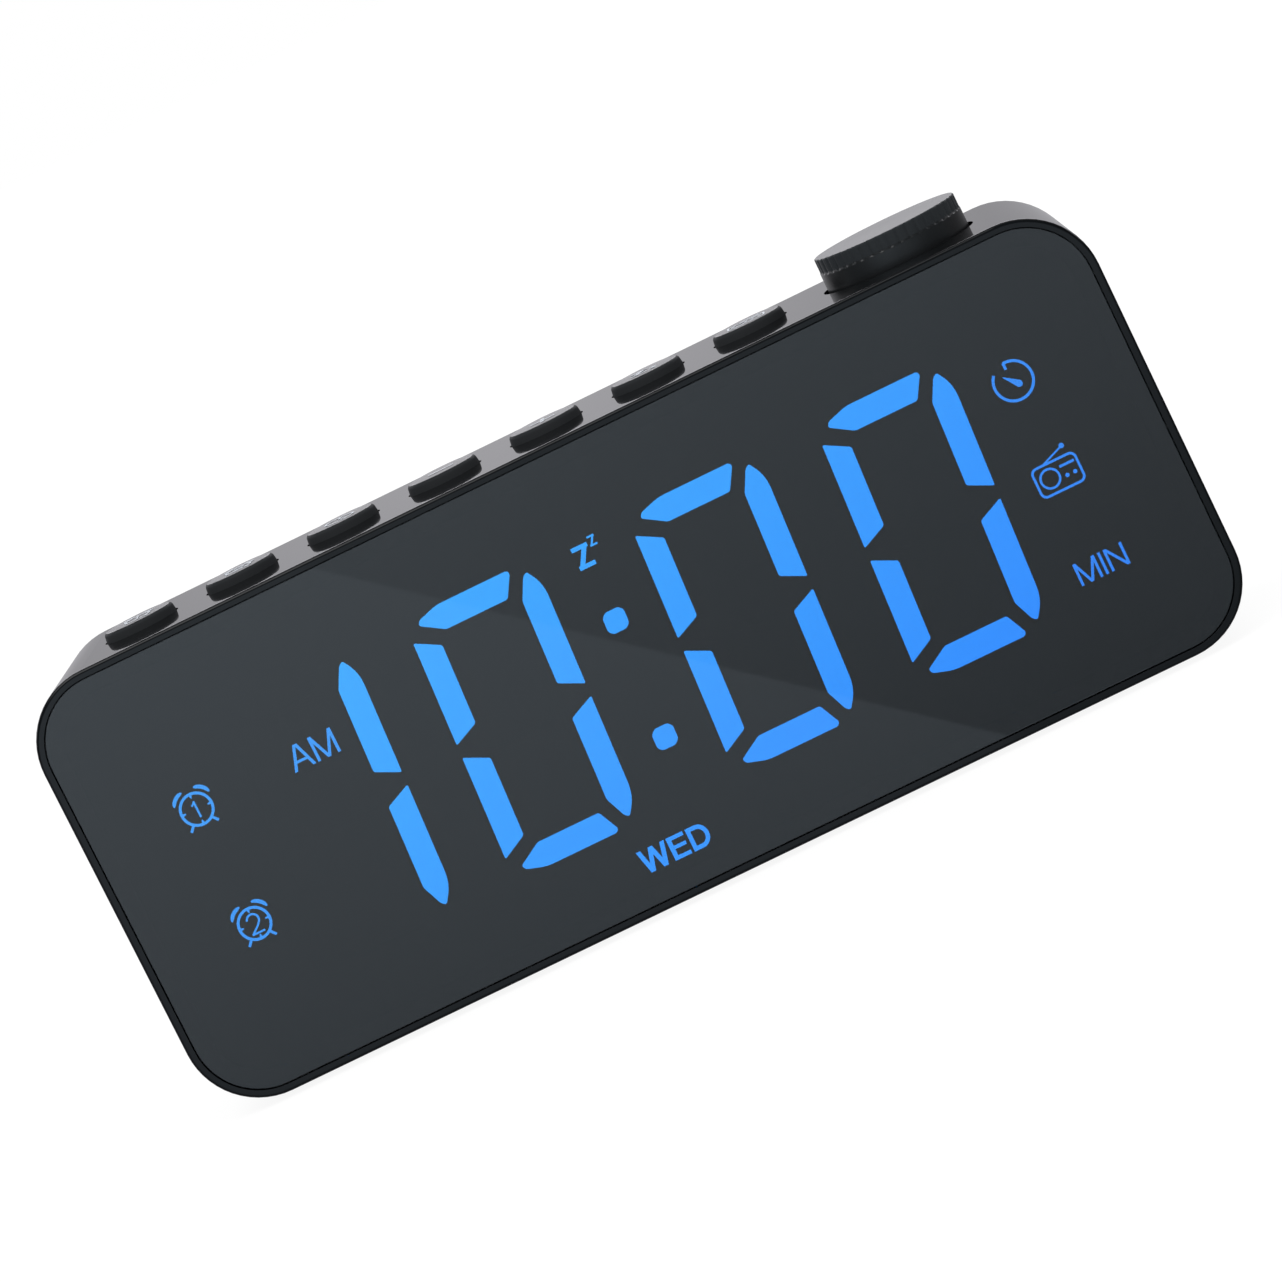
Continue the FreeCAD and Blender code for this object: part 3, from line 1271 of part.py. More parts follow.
def powerJack():
    across = jackAcross
    up = "dims.jack_centre_up"
    noseEnd = "(dims.case_depth - dims.connector_set_back)"
    block = centredBox("jack_block", "dims.jack_width", "%s - %s" % (coverFront, mainBoardBack),
                       "dims.jack_height", across,
                       fromFront("(%s + %s) / 2" % (coverFront, mainBoardBack)), "%s - dims.jack_height / 2" % up)
    nose = lying("jack_nose", "dims.jack_nose_radius", "%s - %s + 1" % (noseEnd, coverFront), across,
                 fromFront("%s - 1" % coverFront), up)
    bore = lying("jack_bore", "dims.jack_bore_radius", "dims.jack_bore_depth + 1", across,
                 fromFront("%s - dims.jack_bore_depth" % noseEnd), up)
    keep(cutFrom("power_jack", joined("jack_with_nose", [block, nose]), [bore]), "power_jack")
    pin = lying("power_jack_pin", "dims.jack_pin_radius", "dims.jack_bore_depth - 1", across,
                fromFront("%s - dims.jack_bore_depth" % noseEnd), up)
    keep(pin, "power_jack_pin")


def chargingPort():
    across = portAcross
    up = "dims.jack_centre_up"
    end = "(dims.case_depth - dims.connector_set_back)"
    length = "(%s - %s)" % (end, mainBoardBack)
    sheet = "2 * dims.port_sheet"
    outside = centredBox("port_outside", "dims.port_width", length, "dims.port_height", across,
                         fromFront("(%s + %s) / 2" % (end, mainBoardBack)), "%s - dims.port_height / 2" % up)
    inside = centredBox("port_inside", "dims.port_width - %s" % sheet, "2 * %s" % length,
                        "dims.port_height - %s" % sheet, across,
                        fromFront("%s + %s" % (mainBoardBack, length)),
                        "%s - dims.port_height / 2 + dims.port_sheet" % up)
    keep(cutFrom("charging_port_shell", outside, [inside]), "charging_port_shell")
    block = centredBox("port_insulator", "dims.port_width - %s" % sheet, "%s - dims.tongue_length - 1" % length,
                       "dims.port_height - %s" % sheet, across,
                       fromFront("%s + (%s - dims.tongue_length - 1) / 2" % (mainBoardBack, length)),
                       "%s - dims.port_height / 2 + dims.port_sheet" % up)
    tongue = centredBox("port_tongue", "dims.tongue_width", "dims.tongue_length + 1", "dims.tongue_height", across,
                        fromFront("%s - 1 - dims.tongue_length / 2" % end),
                        "%s - dims.tongue_height / 2 + dims.tongue_rise" % up)
    keep(joined("charging_port_insulator", [block, tongue]), "charging_port_insulator")


def backupCell():
    across = cellAcross
    up = "dims.cell_centre_up"
    floor = "(dims.case_depth - dims.bay_depth)"
    contact = "dims.contact_thickness"
    keep(lying("backup_cell", "dims.cell_radius", "dims.cell_thickness", across,
               fromFront("%s + %s" % (floor, contact)), up), "backup_cell")
    lower = centredBox("cell_lower_contact", "dims.contact_width", contact, "dims.contact_length", across,
                       fromFront("%s + %s / 2" % (floor, contact)), "%s - dims.contact_length / 2" % up)
    side = centredBox("cell_side_contact", "dims.contact_width", "dims.cell_thickness + %s" % contact, contact,
                      across, fromFront("%s + (dims.cell_thickness + %s) / 2" % (floor, contact)),
                      "%s + dims.cell_radius + dims.contact_gap" % up)
    keep(group("cell_contacts", [lower, side]), "cell_contacts")


mainCase()
rubberFeet()
frontLens()
display()
displayBoard()
for buttonIndex, buttonName in enumerate(buttonNames):
    pushButton(buttonIndex, buttonName)
keyBoard()
encoder()
knob()
rearCover()
coverScrews()
speaker()
mainBoard()
ribbons()
powerJack()
chargingPort()
backupCell()
doc.recompute()

for feature in doc.Objects:
    if "Invalid" in feature.State or "Error" in feature.State:
        raise RuntimeError("%s failed: %s" % (feature.Label, feature.State))

os.makedirs("parts", exist_ok=True)
for feature in subParts:
    shape = feature.Shape
    if shape.isNull() or not shape.isValid():
        raise RuntimeError(feature.Label + " has no valid shape")
    shape.exportStep("parts/%s.step" % feature.Label)
    print("%-26s %3d solids %10.1f mm3" % (feature.Label, len(shape.Solids), shape.Volume))
print(len(subParts), "sub-parts")
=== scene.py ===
import bmesh
import bpy
import math
import numpy as np
from mathutils import Matrix, Vector


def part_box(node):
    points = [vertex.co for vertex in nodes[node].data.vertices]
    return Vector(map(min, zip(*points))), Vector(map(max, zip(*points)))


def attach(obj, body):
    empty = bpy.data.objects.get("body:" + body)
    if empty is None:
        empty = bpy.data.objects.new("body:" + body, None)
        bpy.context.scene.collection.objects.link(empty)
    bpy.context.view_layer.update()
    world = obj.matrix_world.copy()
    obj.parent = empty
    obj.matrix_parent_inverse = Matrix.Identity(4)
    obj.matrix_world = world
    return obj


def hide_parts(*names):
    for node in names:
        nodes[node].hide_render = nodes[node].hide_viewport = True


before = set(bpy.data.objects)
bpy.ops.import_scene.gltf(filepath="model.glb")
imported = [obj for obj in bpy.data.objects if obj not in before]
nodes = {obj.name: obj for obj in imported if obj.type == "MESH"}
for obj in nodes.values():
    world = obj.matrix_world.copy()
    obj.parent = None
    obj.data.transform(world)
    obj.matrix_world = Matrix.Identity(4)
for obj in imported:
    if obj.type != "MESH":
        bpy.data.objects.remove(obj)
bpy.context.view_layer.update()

mm = 0.001
faceMiddle = (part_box("main_case")[0].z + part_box("main_case")[1].z) / 2
buttonNames = ["alarm_1", "alarm_2", "clock", "minus", "plus", "sleep", "radio"]
print("frame loaded:", len(nodes), "nodes")


def newObject(name, data):
    made = bpy.data.objects.new(name, data)
    bpy.context.scene.collection.objects.link(made)
    return made


def meshFrom(name, vertices, faces):
    # A mesh from an array of points and lists of their numbers.
    mesh = bpy.data.meshes.new(name)
    mesh.from_pydata(vertices.tolist(), [], faces)
    mesh.update()
    return mesh


cameraSettings = {
    "target": (1.96 * mm, -24 * mm, 42.87 * mm),
    "distance": 0.88232,
    "yaw": 3.213,  # degrees round the clock, to the right of straight ahead
    "pitch": 7.421,  # degrees above the table
    "roll": -26.238,  # degrees, so that the clock climbs to the right
    "lens": 152.69,
    "sensor": 36.0,
    "near": 0.01,
    "far": 50.0,
}


def makeCamera(settings):
    # Looks at the target from a distance along the direction that yaw and pitch give, then turns by roll.
    yaw = math.radians(settings["yaw"])
    pitch = math.radians(settings["pitch"])
    roll = math.radians(settings["roll"])
    back = Vector((math.sin(yaw) * math.cos(pitch), -math.cos(yaw) * math.cos(pitch), math.sin(pitch)))
    level = (-back).cross(Vector((0, 0, 1))).normalized()
    upright = level.cross(-back)
    right = level * math.cos(roll) + upright * math.sin(roll)
    up = upright * math.cos(roll) - level * math.sin(roll)
    camera = newObject("camera", bpy.data.cameras.new("camera"))
    camera.data.lens = settings["lens"]
    camera.data.sensor_width = settings["sensor"]
    camera.data.clip_start = settings["near"]
    camera.data.clip_end = settings["far"]
    turn = Matrix((right, up, back)).transposed().to_4x4()
    camera.matrix_world = Matrix.Translation(Vector(settings["target"]) + back * settings["distance"]) @ turn
    bpy.context.scene.camera = camera
    return camera


camera = makeCamera(cameraSettings)
bpy.context.scene.view_settings.view_transform = "Standard"
print("camera made")


def feed(tree, node, inputs):
    # Each input is given as a value, a socket, or a node whose first output feeds it.
    for name, value in inputs.items():
        if isinstance(value, bpy.types.Node):
            value = value.outputs[0]
        if isinstance(value, bpy.types.NodeSocket):
            tree.links.new(value, node.inputs[name])
        else:
            node.inputs[name].default_value = value
    return node


def addNode(tree, kind, inputs=None, **properties):
    # A new shader node with its properties set and its inputs fed.
    node = tree.nodes.new("ShaderNode" + kind)
    for name, value in properties.items():
        setattr(node, name, value)
    return feed(tree, node, inputs or {})


def calculate(tree, operation, *values):
    # One sum or product.
    return addNode(tree, "Math", dict(enumerate(values)), operation=operation)


def objectPlace(tree):
    return addNode(tree, "TexCoord").outputs["Object"]


def blankMaterial(name):
    # A new material with its node tree and shader.
    material = bpy.data.materials.new(name)
    material.use_nodes = True
    return material, material.node_tree, material.node_tree.nodes["Principled BSDF"]


def ramp(tree, value, fromLow, fromHigh, toLow, toHigh, kind="LINEAR"):
    # Carries a value from one range to another and holds it at the ends.
    return addNode(tree, "MapRange", {0: value, 1: fromLow, 2: fromHigh, 3: toLow, 4: toHigh},
                   interpolation_type=kind)


def mixValue(tree, share, first, second):
    return addNode(tree, "Mix", {0: share, 2: first, 3: second}, data_type="FLOAT")


def mixColor(tree, share, first, second):
    return addNode(tree, "Mix", {0: share, 6: first, 7: second}, data_type="RGBA").outputs[2]


# studio: white surroundings, and what the glossy surfaces mirror

studioSettings = {
    "fill": 0.85,  # light from all round
    "streakTop": (-40.75 * mm, 37.25 * mm),  # the edge of the light card, as mirrored in the lens
    "streakBottom": (48.0 * mm, -36.5 * mm),
    "streakSoftness": 0.0003,
    "faceTint": (0.85, 1.0, 1.13, 1),
    "wallTint": (0.99, 0.98, 1.03, 1),
    "lensSlopes": (-0.17, -0.085),  # steepness of the rays mirrored at the bottom and the top of the lens
    "card": (0.61, 0.88),  # brightness of the card at these two
    "room": (0.455, 0.73),  # the room beside the card
    "roomRight": 0.87,  # share that's left of it at the right-hand end
    "roomFade": (-0.08, 0.04),  # from where to where that falls
    "under": 0.30,  # share that's left far below, overhead and far to the sides
    "underSlopes": (-0.7, -0.22),
    "over": 0.30,
    "overSlopes": (-0.03, 0.12),
    "beside": 0.55,
    "besideReach": (0.25, 0.9),
    "turn": (-0.2, 0.2),  # from ahead of the clock to behind it
    "wall": (0.575, 0.45),  # the wall behind it, mirrored by its top, at its brightest place and beside that
    "wallPlace": -0.06,  # that place, to the left of straight behind
    "wallReach": 0.11,
    "window": 0.68,  # a brighter place to the left behind it
    "windowEdge": (-0.32, -0.16),
    "wallRight": 0.5,  # share that's left of the wall to the right
    "wallFade": (0.0, 0.4),
    "ceiling": 3.8,  # low over the wall
    "ceilingSlopes": (0.10, 0.45),
    "zenith": 0.10,  # high over it
    "zenithSlopes": (0.37, 0.49),
    "sides": 0.5,  # share that's left straight to the left and right
    "sidesReach": (0.4, 0.95),
}


def streakNormal(settings):
    # Normal of the plane through the mirrored eye and the streak's two ends on the lens.
    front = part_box("front_lens")[0].y
    eye = camera.matrix_world.translation
    rays = []
    for across, up in (settings["streakTop"], settings["streakBottom"]):
        ray = Vector((across, front, faceMiddle + up)) - eye
        rays.append(Vector((ray.x, -ray.y, ray.z)))
    normal = rays[0].cross(rays[1]).normalized()
    return normal if normal.x < 0 else -normal


def makeWorld(settings):
    # The camera sees white and matt faces get an even light. Glossy ones mirror a room that differs by
    # direction: ahead of the clock a card beside a darker room, behind it a wall, a window and a ceiling.
    world = bpy.data.worlds.new("studio")
    bpy.context.scene.world = world
    world.use_nodes = True
    tree = world.node_tree
    tree.nodes.clear()
    direction = addNode(tree, "TexCoord").outputs["Generated"]
    across, depth, slope = addNode(tree, "SeparateXYZ", {0: direction}).outputs
    sideways = calculate(tree, "ABSOLUTE", across)
    side = addNode(tree, "VectorMath", {0: direction, 1: streakNormal(settings)},
                   operation="DOT_PRODUCT").outputs["Value"]

    onCard = ramp(tree, side, -settings["streakSoftness"], settings["streakSoftness"], 0, 1)
    card = ramp(tree, slope, *settings["lensSlopes"], *settings["card"])
    room = ramp(tree, slope, *settings["lensSlopes"], *settings["room"])
    fade = ramp(tree, across, *settings["roomFade"], 1, settings["roomRight"])
    ahead = mixValue(tree, onCard, calculate(tree, "MULTIPLY", room, fade), card)
    for fall in (ramp(tree, slope, *settings["underSlopes"], settings["under"], 1),
                 ramp(tree, slope, *settings["overSlopes"], 1, settings["over"]),
                 ramp(tree, sideways, *settings["besideReach"], 1, settings["beside"])):
        ahead = calculate(tree, "MULTIPLY", ahead, fall)

    apart = calculate(tree, "ABSOLUTE", calculate(tree, "SUBTRACT", across, settings["wallPlace"]))
    wall = ramp(tree, apart, 0, settings["wallReach"], *settings["wall"], "SMOOTHSTEP")
    window = ramp(tree, across, *settings["windowEdge"], 1, 0, "SMOOTHSTEP")
    wall = mixValue(tree, window, wall, settings["window"])
    fade = ramp(tree, across, *settings["wallFade"], 1, settings["wallRight"], "SMOOTHSTEP")
    behind = ramp(tree, depth, *settings["turn"], 0, 1, "SMOOTHSTEP")
    strength = mixValue(tree, behind, ahead, calculate(tree, "MULTIPLY", wall, fade))
    for part in ("ceiling", "zenith"):
        above = ramp(tree, slope, *settings[part + "Slopes"], 0, 1, "SMOOTHSTEP")
        strength = mixValue(tree, calculate(tree, "MULTIPLY", above, behind), strength, settings[part])
    sides = ramp(tree, sideways, *settings["sidesReach"], 1, settings["sides"], "SMOOTHSTEP")
    strength = calculate(tree, "MULTIPLY", strength, sides)
    tint = mixColor(tree, behind, settings["faceTint"], settings["wallTint"])

    mirrored = addNode(tree, "Background", {"Color": tint, "Strength": strength})
    light = addNode(tree, "Background", {"Color": (1, 1, 1, 1), "Strength": settings["fill"]})
    white = addNode(tree, "Background", {"Color": (1, 1, 1, 1), "Strength": 1.0})
    path = addNode(tree, "LightPath").outputs
    shiny = calculate(tree, "MAXIMUM", path["Is Glossy Ray"], path["Is Transmission Ray"])
    indoors = addNode(tree, "MixShader", {0: shiny, 1: light, 2: mirrored})
    view = addNode(tree, "MixShader", {0: path["Is Camera Ray"], 1: indoors, 2: white})
    addNode(tree, "OutputWorld", {"Surface": view})


makeWorld(studioSettings)


floorSettings = {
    "half": 40.0,  # metres from the middle to each side
    "color": (0.86, 0.86, 0.86, 1),
    "glow": 0.84,  # share of its white that doesn't darken under the clock
    "white": 1.08,
}


def makeFloor(settings):
    # A square at the level of the feet, which keeps the clock's soft shadow.
    corners = settings["half"] * np.array([(-1, -1, 0), (1, -1, 0), (1, 1, 0), (-1, 1, 0)])
    mesh = meshFrom("floor", corners, [(0, 1, 2, 3)])
    floor = newObject("floor", mesh)
    material, tree = blankMaterial("pale floor")[:2]
    tree.nodes.clear()
    paper = addNode(tree, "BsdfDiffuse", {"Color": settings["color"]})
    glow = addNode(tree, "Emission", {"Color": (1, 1, 1, 1), "Strength": settings["white"]})
    path = addNode(tree, "LightPath").outputs
    share = calculate(tree, "MULTIPLY", path["Is Camera Ray"], settings["glow"])
    surface = addNode(tree, "MixShader", {0: share, 1: paper, 2: glow})
    addNode(tree, "OutputMaterial", {"Surface": surface})
    mesh.materials.append(material)
    floor.visible_glossy = False  # the glossy faces mirror the even studio instead


makeFloor(floorSettings)


lampSettings = {
    "aim": (0, 0, 40 * mm),
    "lamps": {  # place, size and power
        "lamp_above": ((-0.5, -0.9, 1.5), 1.2, 9.0),
        "lamp_behind": ((0.7, 1.0, 1.2), 1.0, 4.0),
    },
}


def makeLamps(settings):
    # Area lamps turned to the clock.
    for name, (place, size, power) in settings["lamps"].items():
        data = bpy.data.lights.new(name, "AREA")
        data.size = size
        data.energy = power
        lamp = newObject(name, data)
        lamp.location = place
        lamp.rotation_euler = (Vector(settings["aim"]) - Vector(place)).to_track_quat("-Z", "Y").to_euler()


makeLamps(lampSettings)
print("studio made")


# shared surface effects

def newGroup(name, inputs, outputs):
    # A shader node group with its named sockets, and its input and output nodes.
    tree = bpy.data.node_groups.new(name, "ShaderNodeTree")
    for label, kind, value in inputs:
        socket = tree.interface.new_socket(label, in_out="INPUT", socket_type=kind)
        socket.default_value = value
    for label, kind in outputs:
        tree.interface.new_socket(label, in_out="OUTPUT", socket_type=kind)
    return tree, tree.nodes.new("NodeGroupInput").outputs, tree.nodes.new("NodeGroupOutput")


def makeToneGroup():
    # Slow changes of tone and polish over a surface: noise spreads both about their middle.
    tree, given, out = newGroup("uneven tone", [
        ("Color", "NodeSocketColor", (0.5, 0.5, 0.5, 1)), ("Tone", "NodeSocketFloat", 0.1),
        ("Roughness", "NodeSocketFloat", 0.3), ("Spread", "NodeSocketFloat", 0.05),
        ("Scale", "NodeSocketFloat", 40.0)], [("Color", "NodeSocketColor"), ("Roughness", "NodeSocketFloat")])
    noise = addNode(tree, "TexNoise",
                    {"Vector": objectPlace(tree), "Scale": given["Scale"], "Detail": 4.0}).outputs["Fac"]
    about = calculate(tree, "SUBTRACT", noise, 0.5)
    shade = calculate(tree, "MULTIPLY_ADD", about, given["Tone"], 1.0)
    color = addNode(tree, "VectorMath", {0: given["Color"], "Scale": shade}, operation="SCALE")
    rough = calculate(tree, "MULTIPLY_ADD", about, given["Spread"], given["Roughness"])
    feed(tree, out, {"Color": color, "Roughness": rough})
    return tree


def makeGrainGroup():
    # The fine sparked texture of a mould: small rounded pits at one scale with finer noise over them.
    tree, given, out = newGroup("moulded grain", [("Scale", "NodeSocketFloat", 3000.0)],
                                [("Height", "NodeSocketFloat")])
    place = {"Vector": objectPlace(tree), "Scale": given["Scale"]}
    cells = addNode(tree, "TexVoronoi", place, feature="SMOOTH_F1").outputs["Distance"]
    noise = addNode(tree, "TexNoise", {**place, "Detail": 3.0}).outputs["Fac"]
    feed(tree, out, {"Height": calculate(tree, "ADD", cells, noise)})
    return tree


toneGroup = makeToneGroup()
grainGroup = makeGrainGroup()


usualFinish = {
    "roughness": 0.4,
    "spread": 0.08,  # how far its roughness varies
    "tone": 0.15,  # how far its brightness varies
    "patches": 60.0,  # how many changes to the metre
    "metallic": 0.0,
    "ior": 1.45,
    "grain": (0.0, 0.0),  # pits to the metre and their strength
    "grainDepth": 0.02 * mm,
}


def newMaterial(name, finish):
    # A surface of uneven tone and polish, with grain where the finish has any.
    finish = {**usualFinish, **finish}
    material, tree, shader = blankMaterial(name)
    tone = addNode(tree, "Group",
                   {"Color": (*finish["color"], 1), "Tone": finish["tone"], "Roughness": finish["roughness"],
                    "Spread": finish["spread"], "Scale": finish["patches"]}, node_tree=toneGroup)
    feed(tree, shader, {"Base Color": tone.outputs["Color"], "Roughness": tone.outputs["Roughness"],
                        "Metallic": finish["metallic"], "IOR": finish["ior"]})
    pits, strength = finish["grain"]
    if pits:
        grain = addNode(tree, "Group", {"Scale": pits}, node_tree=grainGroup)
        bump = addNode(tree, "Bump",
                       {"Strength": strength, "Distance": finish["grainDepth"], "Height": grain})
        feed(tree, shader, {"Normal": bump})
    return material


finishes = {
    "case black": {"color": (0.0018, 0.002, 0.0023), "roughness": 0.025, "spread": 0.02, "ior": 1.4,
                   "patches": 25.0, "tone": 0.2},
    "cover black": {"color": (0.011, 0.012, 0.013), "roughness": 0.42, "grain": (1400.0, 0.35)},
    # painted light: the caps' sides get a colour about eight times lighter than the tops of the same plastic,
    # standing in for the light the sides catch
    "button black painted lighter": {"color": (0.029, 0.031, 0.0335), "roughness": 0.45, "spread": 0.06, "ior": 1.07,
                     "grain": (2600.0, 0.1)},
    "button top": {"color": (0.0036, 0.004, 0.0044), "roughness": 0.29, "spread": 0.06,
                   "grain": (2600.0, 0.1)},
    "knob black": {"color": (0.011, 0.012, 0.013), "roughness": 0.3, "spread": 0.06, "ior": 1.5,
                   "grain": (2600.0, 0.1)},
    # painted light: the grip's colour is about three times that of the rest of the knob, standing in for the
    # light its ridges catch
    "knob grip painted lighter": {"color": (0.027, 0.031, 0.0345), "roughness": 0.42, "spread": 0.06, "ior": 1.22,
                  "grain": (2600.0, 0.1)},
    "knob top": {"color": (0.011, 0.012, 0.013), "roughness": 0.36, "ior": 1.6,
                 "grain": (2600.0, 0.15)},
    "film black": {"color": (0.004, 0.004, 0.0045), "roughness": 0.5, "tone": 0.2, "ior": 1.02},
    "unlit grey": {"color": (0.004, 0.0045, 0.005), "roughness": 0.5, "tone": 0.1, "ior": 1.02},
    "diode white": {"color": (0.84, 0.8, 0.62), "roughness": 0.25},
    "steel": {"color": (0.56, 0.56, 0.57), "metallic": 1.0, "roughness": 0.3, "grain": (4000.0, 0.08)},
    "screw black": {"color": (0.035, 0.036, 0.038), "metallic": 1.0, "roughness": 0.36, "tone": 0.3},
    "white plastic": {"color": (0.74, 0.74, 0.71), "roughness": 0.38, "grain": (2400.0, 0.1)},
    "component black": {"color": (0.022, 0.022, 0.023), "roughness": 0.45, "grain": (2400.0, 0.2)},
    "aluminium": {"color": (0.74, 0.74, 0.75), "metallic": 1.0, "roughness": 0.28, "grain": (3000.0, 0.08)},
    "rotor tan": {"color": (0.42, 0.36, 0.26), "roughness": 0.5},
    "cone paper": {"color": (0.02, 0.02, 0.021), "roughness": 0.85, "grain": (900.0, 0.6),
                   "grainDepth": 0.1 * mm},
    "magnet iron": {"color": (0.1, 0.1, 0.105), "metallic": 0.6, "roughness": 0.5, "grain": (1500.0, 0.2)},
    "sleeve blue": {"color": (0.015, 0.022, 0.07), "roughness": 0.35},
    "brass": {"color": (0.72, 0.53, 0.24), "metallic": 1.0, "roughness": 0.22},
    "foot rubber": {"color": (0.018, 0.018, 0.018), "roughness": 0.75, "grain": (1500.0, 0.4),
                    "grainDepth": 0.05 * mm},
    "ribbon grey": {"color": (0.45, 0.46, 0.47), "roughness": 0.45},
    "print grey": {"color": (0.62, 0.66, 0.72), "roughness": 0.45, "tone": 0.1},
}
materials = {name: newMaterial(name, finish) for name, finish in finishes.items()}


boardSettings = {
    "mask": ((0.004, 0.075, 0.024, 1), (0.006, 0.095, 0.032, 1)),
    "track": (0.02, 0.17, 0.06, 1),
    "tracks": 60.0,  # rows to the metre and their proportions
    "trackWidth": 0.03,
    "fieldWidth": 0.4,
    "fieldHeight": 0.12,
    "roughness": 0.32,
}


def makeBoardMaterial(settings):
    # Green solder mask over copper tracks: a brick pattern of fine lines gives the tracks.
    material, tree, shader = blankMaterial("board green")
    across, depth, up = addNode(tree, "SeparateXYZ", {0: objectPlace(tree)}).outputs
    upright = addNode(tree, "CombineXYZ", {"X": across, "Y": up, "Z": depth})
    tracks = addNode(tree, "TexBrick", {
        "Vector": upright, "Color1": settings["mask"][0], "Color2": settings["mask"][1],
        "Mortar": settings["track"], "Scale": settings["tracks"], "Mortar Size": settings["trackWidth"],
        "Brick Width": settings["fieldWidth"], "Row Height": settings["fieldHeight"]})
    feed(tree, shader, {"Base Color": tracks.outputs["Color"], "Roughness": settings["roughness"]})
    return material


materials["board green"] = makeBoardMaterial(boardSettings)


reflectorSettings = {
    "white": (0.80, 0.80, 0.77, 1),
    "black": (0.004, 0.004, 0.0045, 1),
    "printed": (1.89 * mm, 2.1 * mm),  # how deep the black goes from its front, behind the diffusers
    "roughness": 0.5,
    "ior": 1.2,
}


def makeReflectorMaterial(settings):
    # White plastic whose front face is printed black, so that no light shows between the fields.
    material, tree, shader = blankMaterial("reflector white")
    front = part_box("display_reflector")[0].y
    depth = addNode(tree, "SeparateXYZ", {0: objectPlace(tree)}).outputs["Y"]
    share = ramp(tree, depth, *[front + reach for reach in settings["printed"]], 0, 1)
    feed(tree, shader, {"Base Color": mixColor(tree, share, settings["black"], settings["white"]),
                        "Roughness": settings["roughness"], "IOR": settings["ior"]})
    return material


materials["reflector white"] = makeReflectorMaterial(reflectorSettings)


lensSettings = {
    "tint": (0.042, 0.045, 0.048, 1),
    "ior": 1.68,  # with its hard coat
    "roughness": (0.001, 0.004),
    "patches": 30.0,  # changes of polish to the metre
    "bevel": 0.15 * mm,
    "bevelSteps": 3,
    "flat": 0.98,  # part of a normal to the front from which a face shades flat
    "deep": 0.5 * mm,  # what lies further back than this makes room for the glue
    "seat": 0.05 * mm,  # thickness of the glue
    "corner": 11.4 * mm,
    "reach": 0.12 * mm,
}


def makeLensMaterial(settings):
    # Smoked clear plastic with a faint unevenness in its polish.
    material, tree, shader = blankMaterial("smoked lens")
    noise = addNode(tree, "TexNoise",
                    {"Vector": objectPlace(tree), "Scale": settings["patches"], "Detail": 3.0}).outputs["Fac"]
    feed(tree, shader, {"Base Color": settings["tint"], "Transmission Weight": 1.0, "IOR": settings["ior"],
                        "Roughness": ramp(tree, noise, 0.3, 0.7, *settings["roughness"])})
    return material


glowSettings = {
    "colors": {  # at the upper left and the lower right end of the slant across the display
        "blue light": ((0.027, 0.397, 0.93, 1), (0.0153, 0.255, 0.94, 1)),
        "dim blue light": ((0.032, 0.315, 0.84, 1), (0.019, 0.215, 0.82, 1)),
    },
    "slant": (-0.145, 0.0, 0.293),  # direction of the change
    "reach": 0.0155,  # of the middle to each end along the slant
    "strength": 24.2,
    "base": (0.02, 0.03, 0.05, 1),
    "roughness": 0.6,
}


def makeGlowMaterial(name, settings):
    # Blue light, a little greener towards the upper left, through a milky diffuser.
    upperLeft, lowerRight = settings["colors"][name]
    material, tree, shader = blankMaterial(name)
    middle = addNode(tree, "VectorMath", {0: objectPlace(tree), 1: (0, 0, faceMiddle)},
                     operation="SUBTRACT")
    along = addNode(tree, "VectorMath", {0: middle, 1: settings["slant"]},
                    operation="DOT_PRODUCT").outputs["Value"]
    share = ramp(tree, along, -settings["reach"], settings["reach"], 0, 1)
    feed(tree, shader, {"Emission Color": mixColor(tree, share, lowerRight, upperLeft),
                        "Emission Strength": settings["strength"], "Base Color": settings["base"],
                        "Roughness": settings["roughness"]})
    return material


materials["smoked lens"] = makeLensMaterial(lensSettings)
for finish in glowSettings["colors"]:
    materials[finish] = makeGlowMaterial(finish, glowSettings)
print("materials made:", len(materials))


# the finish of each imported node

nodeFinishes = {
    "case black": ["main_case"],
    "cover black": ["rear_cover", "battery_door"],
    "smoked lens": ["front_lens"],
    "blue light": ["lit_segments", "colon_dots"],
    "film black": ["display_mask"],
    "unlit grey": ["unlit_segments", "symbol_diffusers"],
    "reflector white": ["display_reflector"],
    "diode white": ["segment_leds"],
    "board green": ["display_board", "key_board", "main_board"],
    "steel": ["display_board_screws", "key_board_screws", "main_board_screws", "speaker_screws",
              "speaker_frame", "tuner_shield", "clock_crystal", "charging_port_shell", "backup_cell",
              "cell_contacts"],
    "screw black": ["cover_screws"],
    "button black painted lighter": [name + "_button" for name in buttonNames],
    "white plastic": [name + "_plunger" for name in buttonNames] + ["ribbon_sockets",
                                                                    "charging_port_insulator"],
    "component black": ["switch_housings", "encoder_base", "clock_chip", "amplifier_chip", "power_jack"],
    "aluminium": ["encoder_bushing", "encoder_shaft"],
    "rotor tan": ["encoder_rotor"],
    "knob black": ["knob_cap"],
    "cone paper": ["speaker_cone"],
    "magnet iron": ["speaker_magnet"],
    "sleeve blue": ["capacitors"],
    "brass": ["power_jack_pin"],
    "foot rubber": ["rubber_feet"],
    "ribbon grey": ["display_ribbon", "key_ribbon"],
}
for finish, members in nodeFinishes.items():
    for name in members:
        for slot in nodes[name].material_slots:
            slot.material = materials[finish]
left = sorted(set(nodes) - {name for members in nodeFinishes.values() for name in members})
print("nodes without a finish:", left)


# new pieces

def newPiece(name, mesh, finish, body, replaced=()):
    # Links a finished mesh as a piece that rides on a body.
    piece = newObject(name, mesh)
    for each in finish:
        mesh.materials.append(materials[each])
    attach(piece, body)
    if replaced:
        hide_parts(*replaced)
    return piece


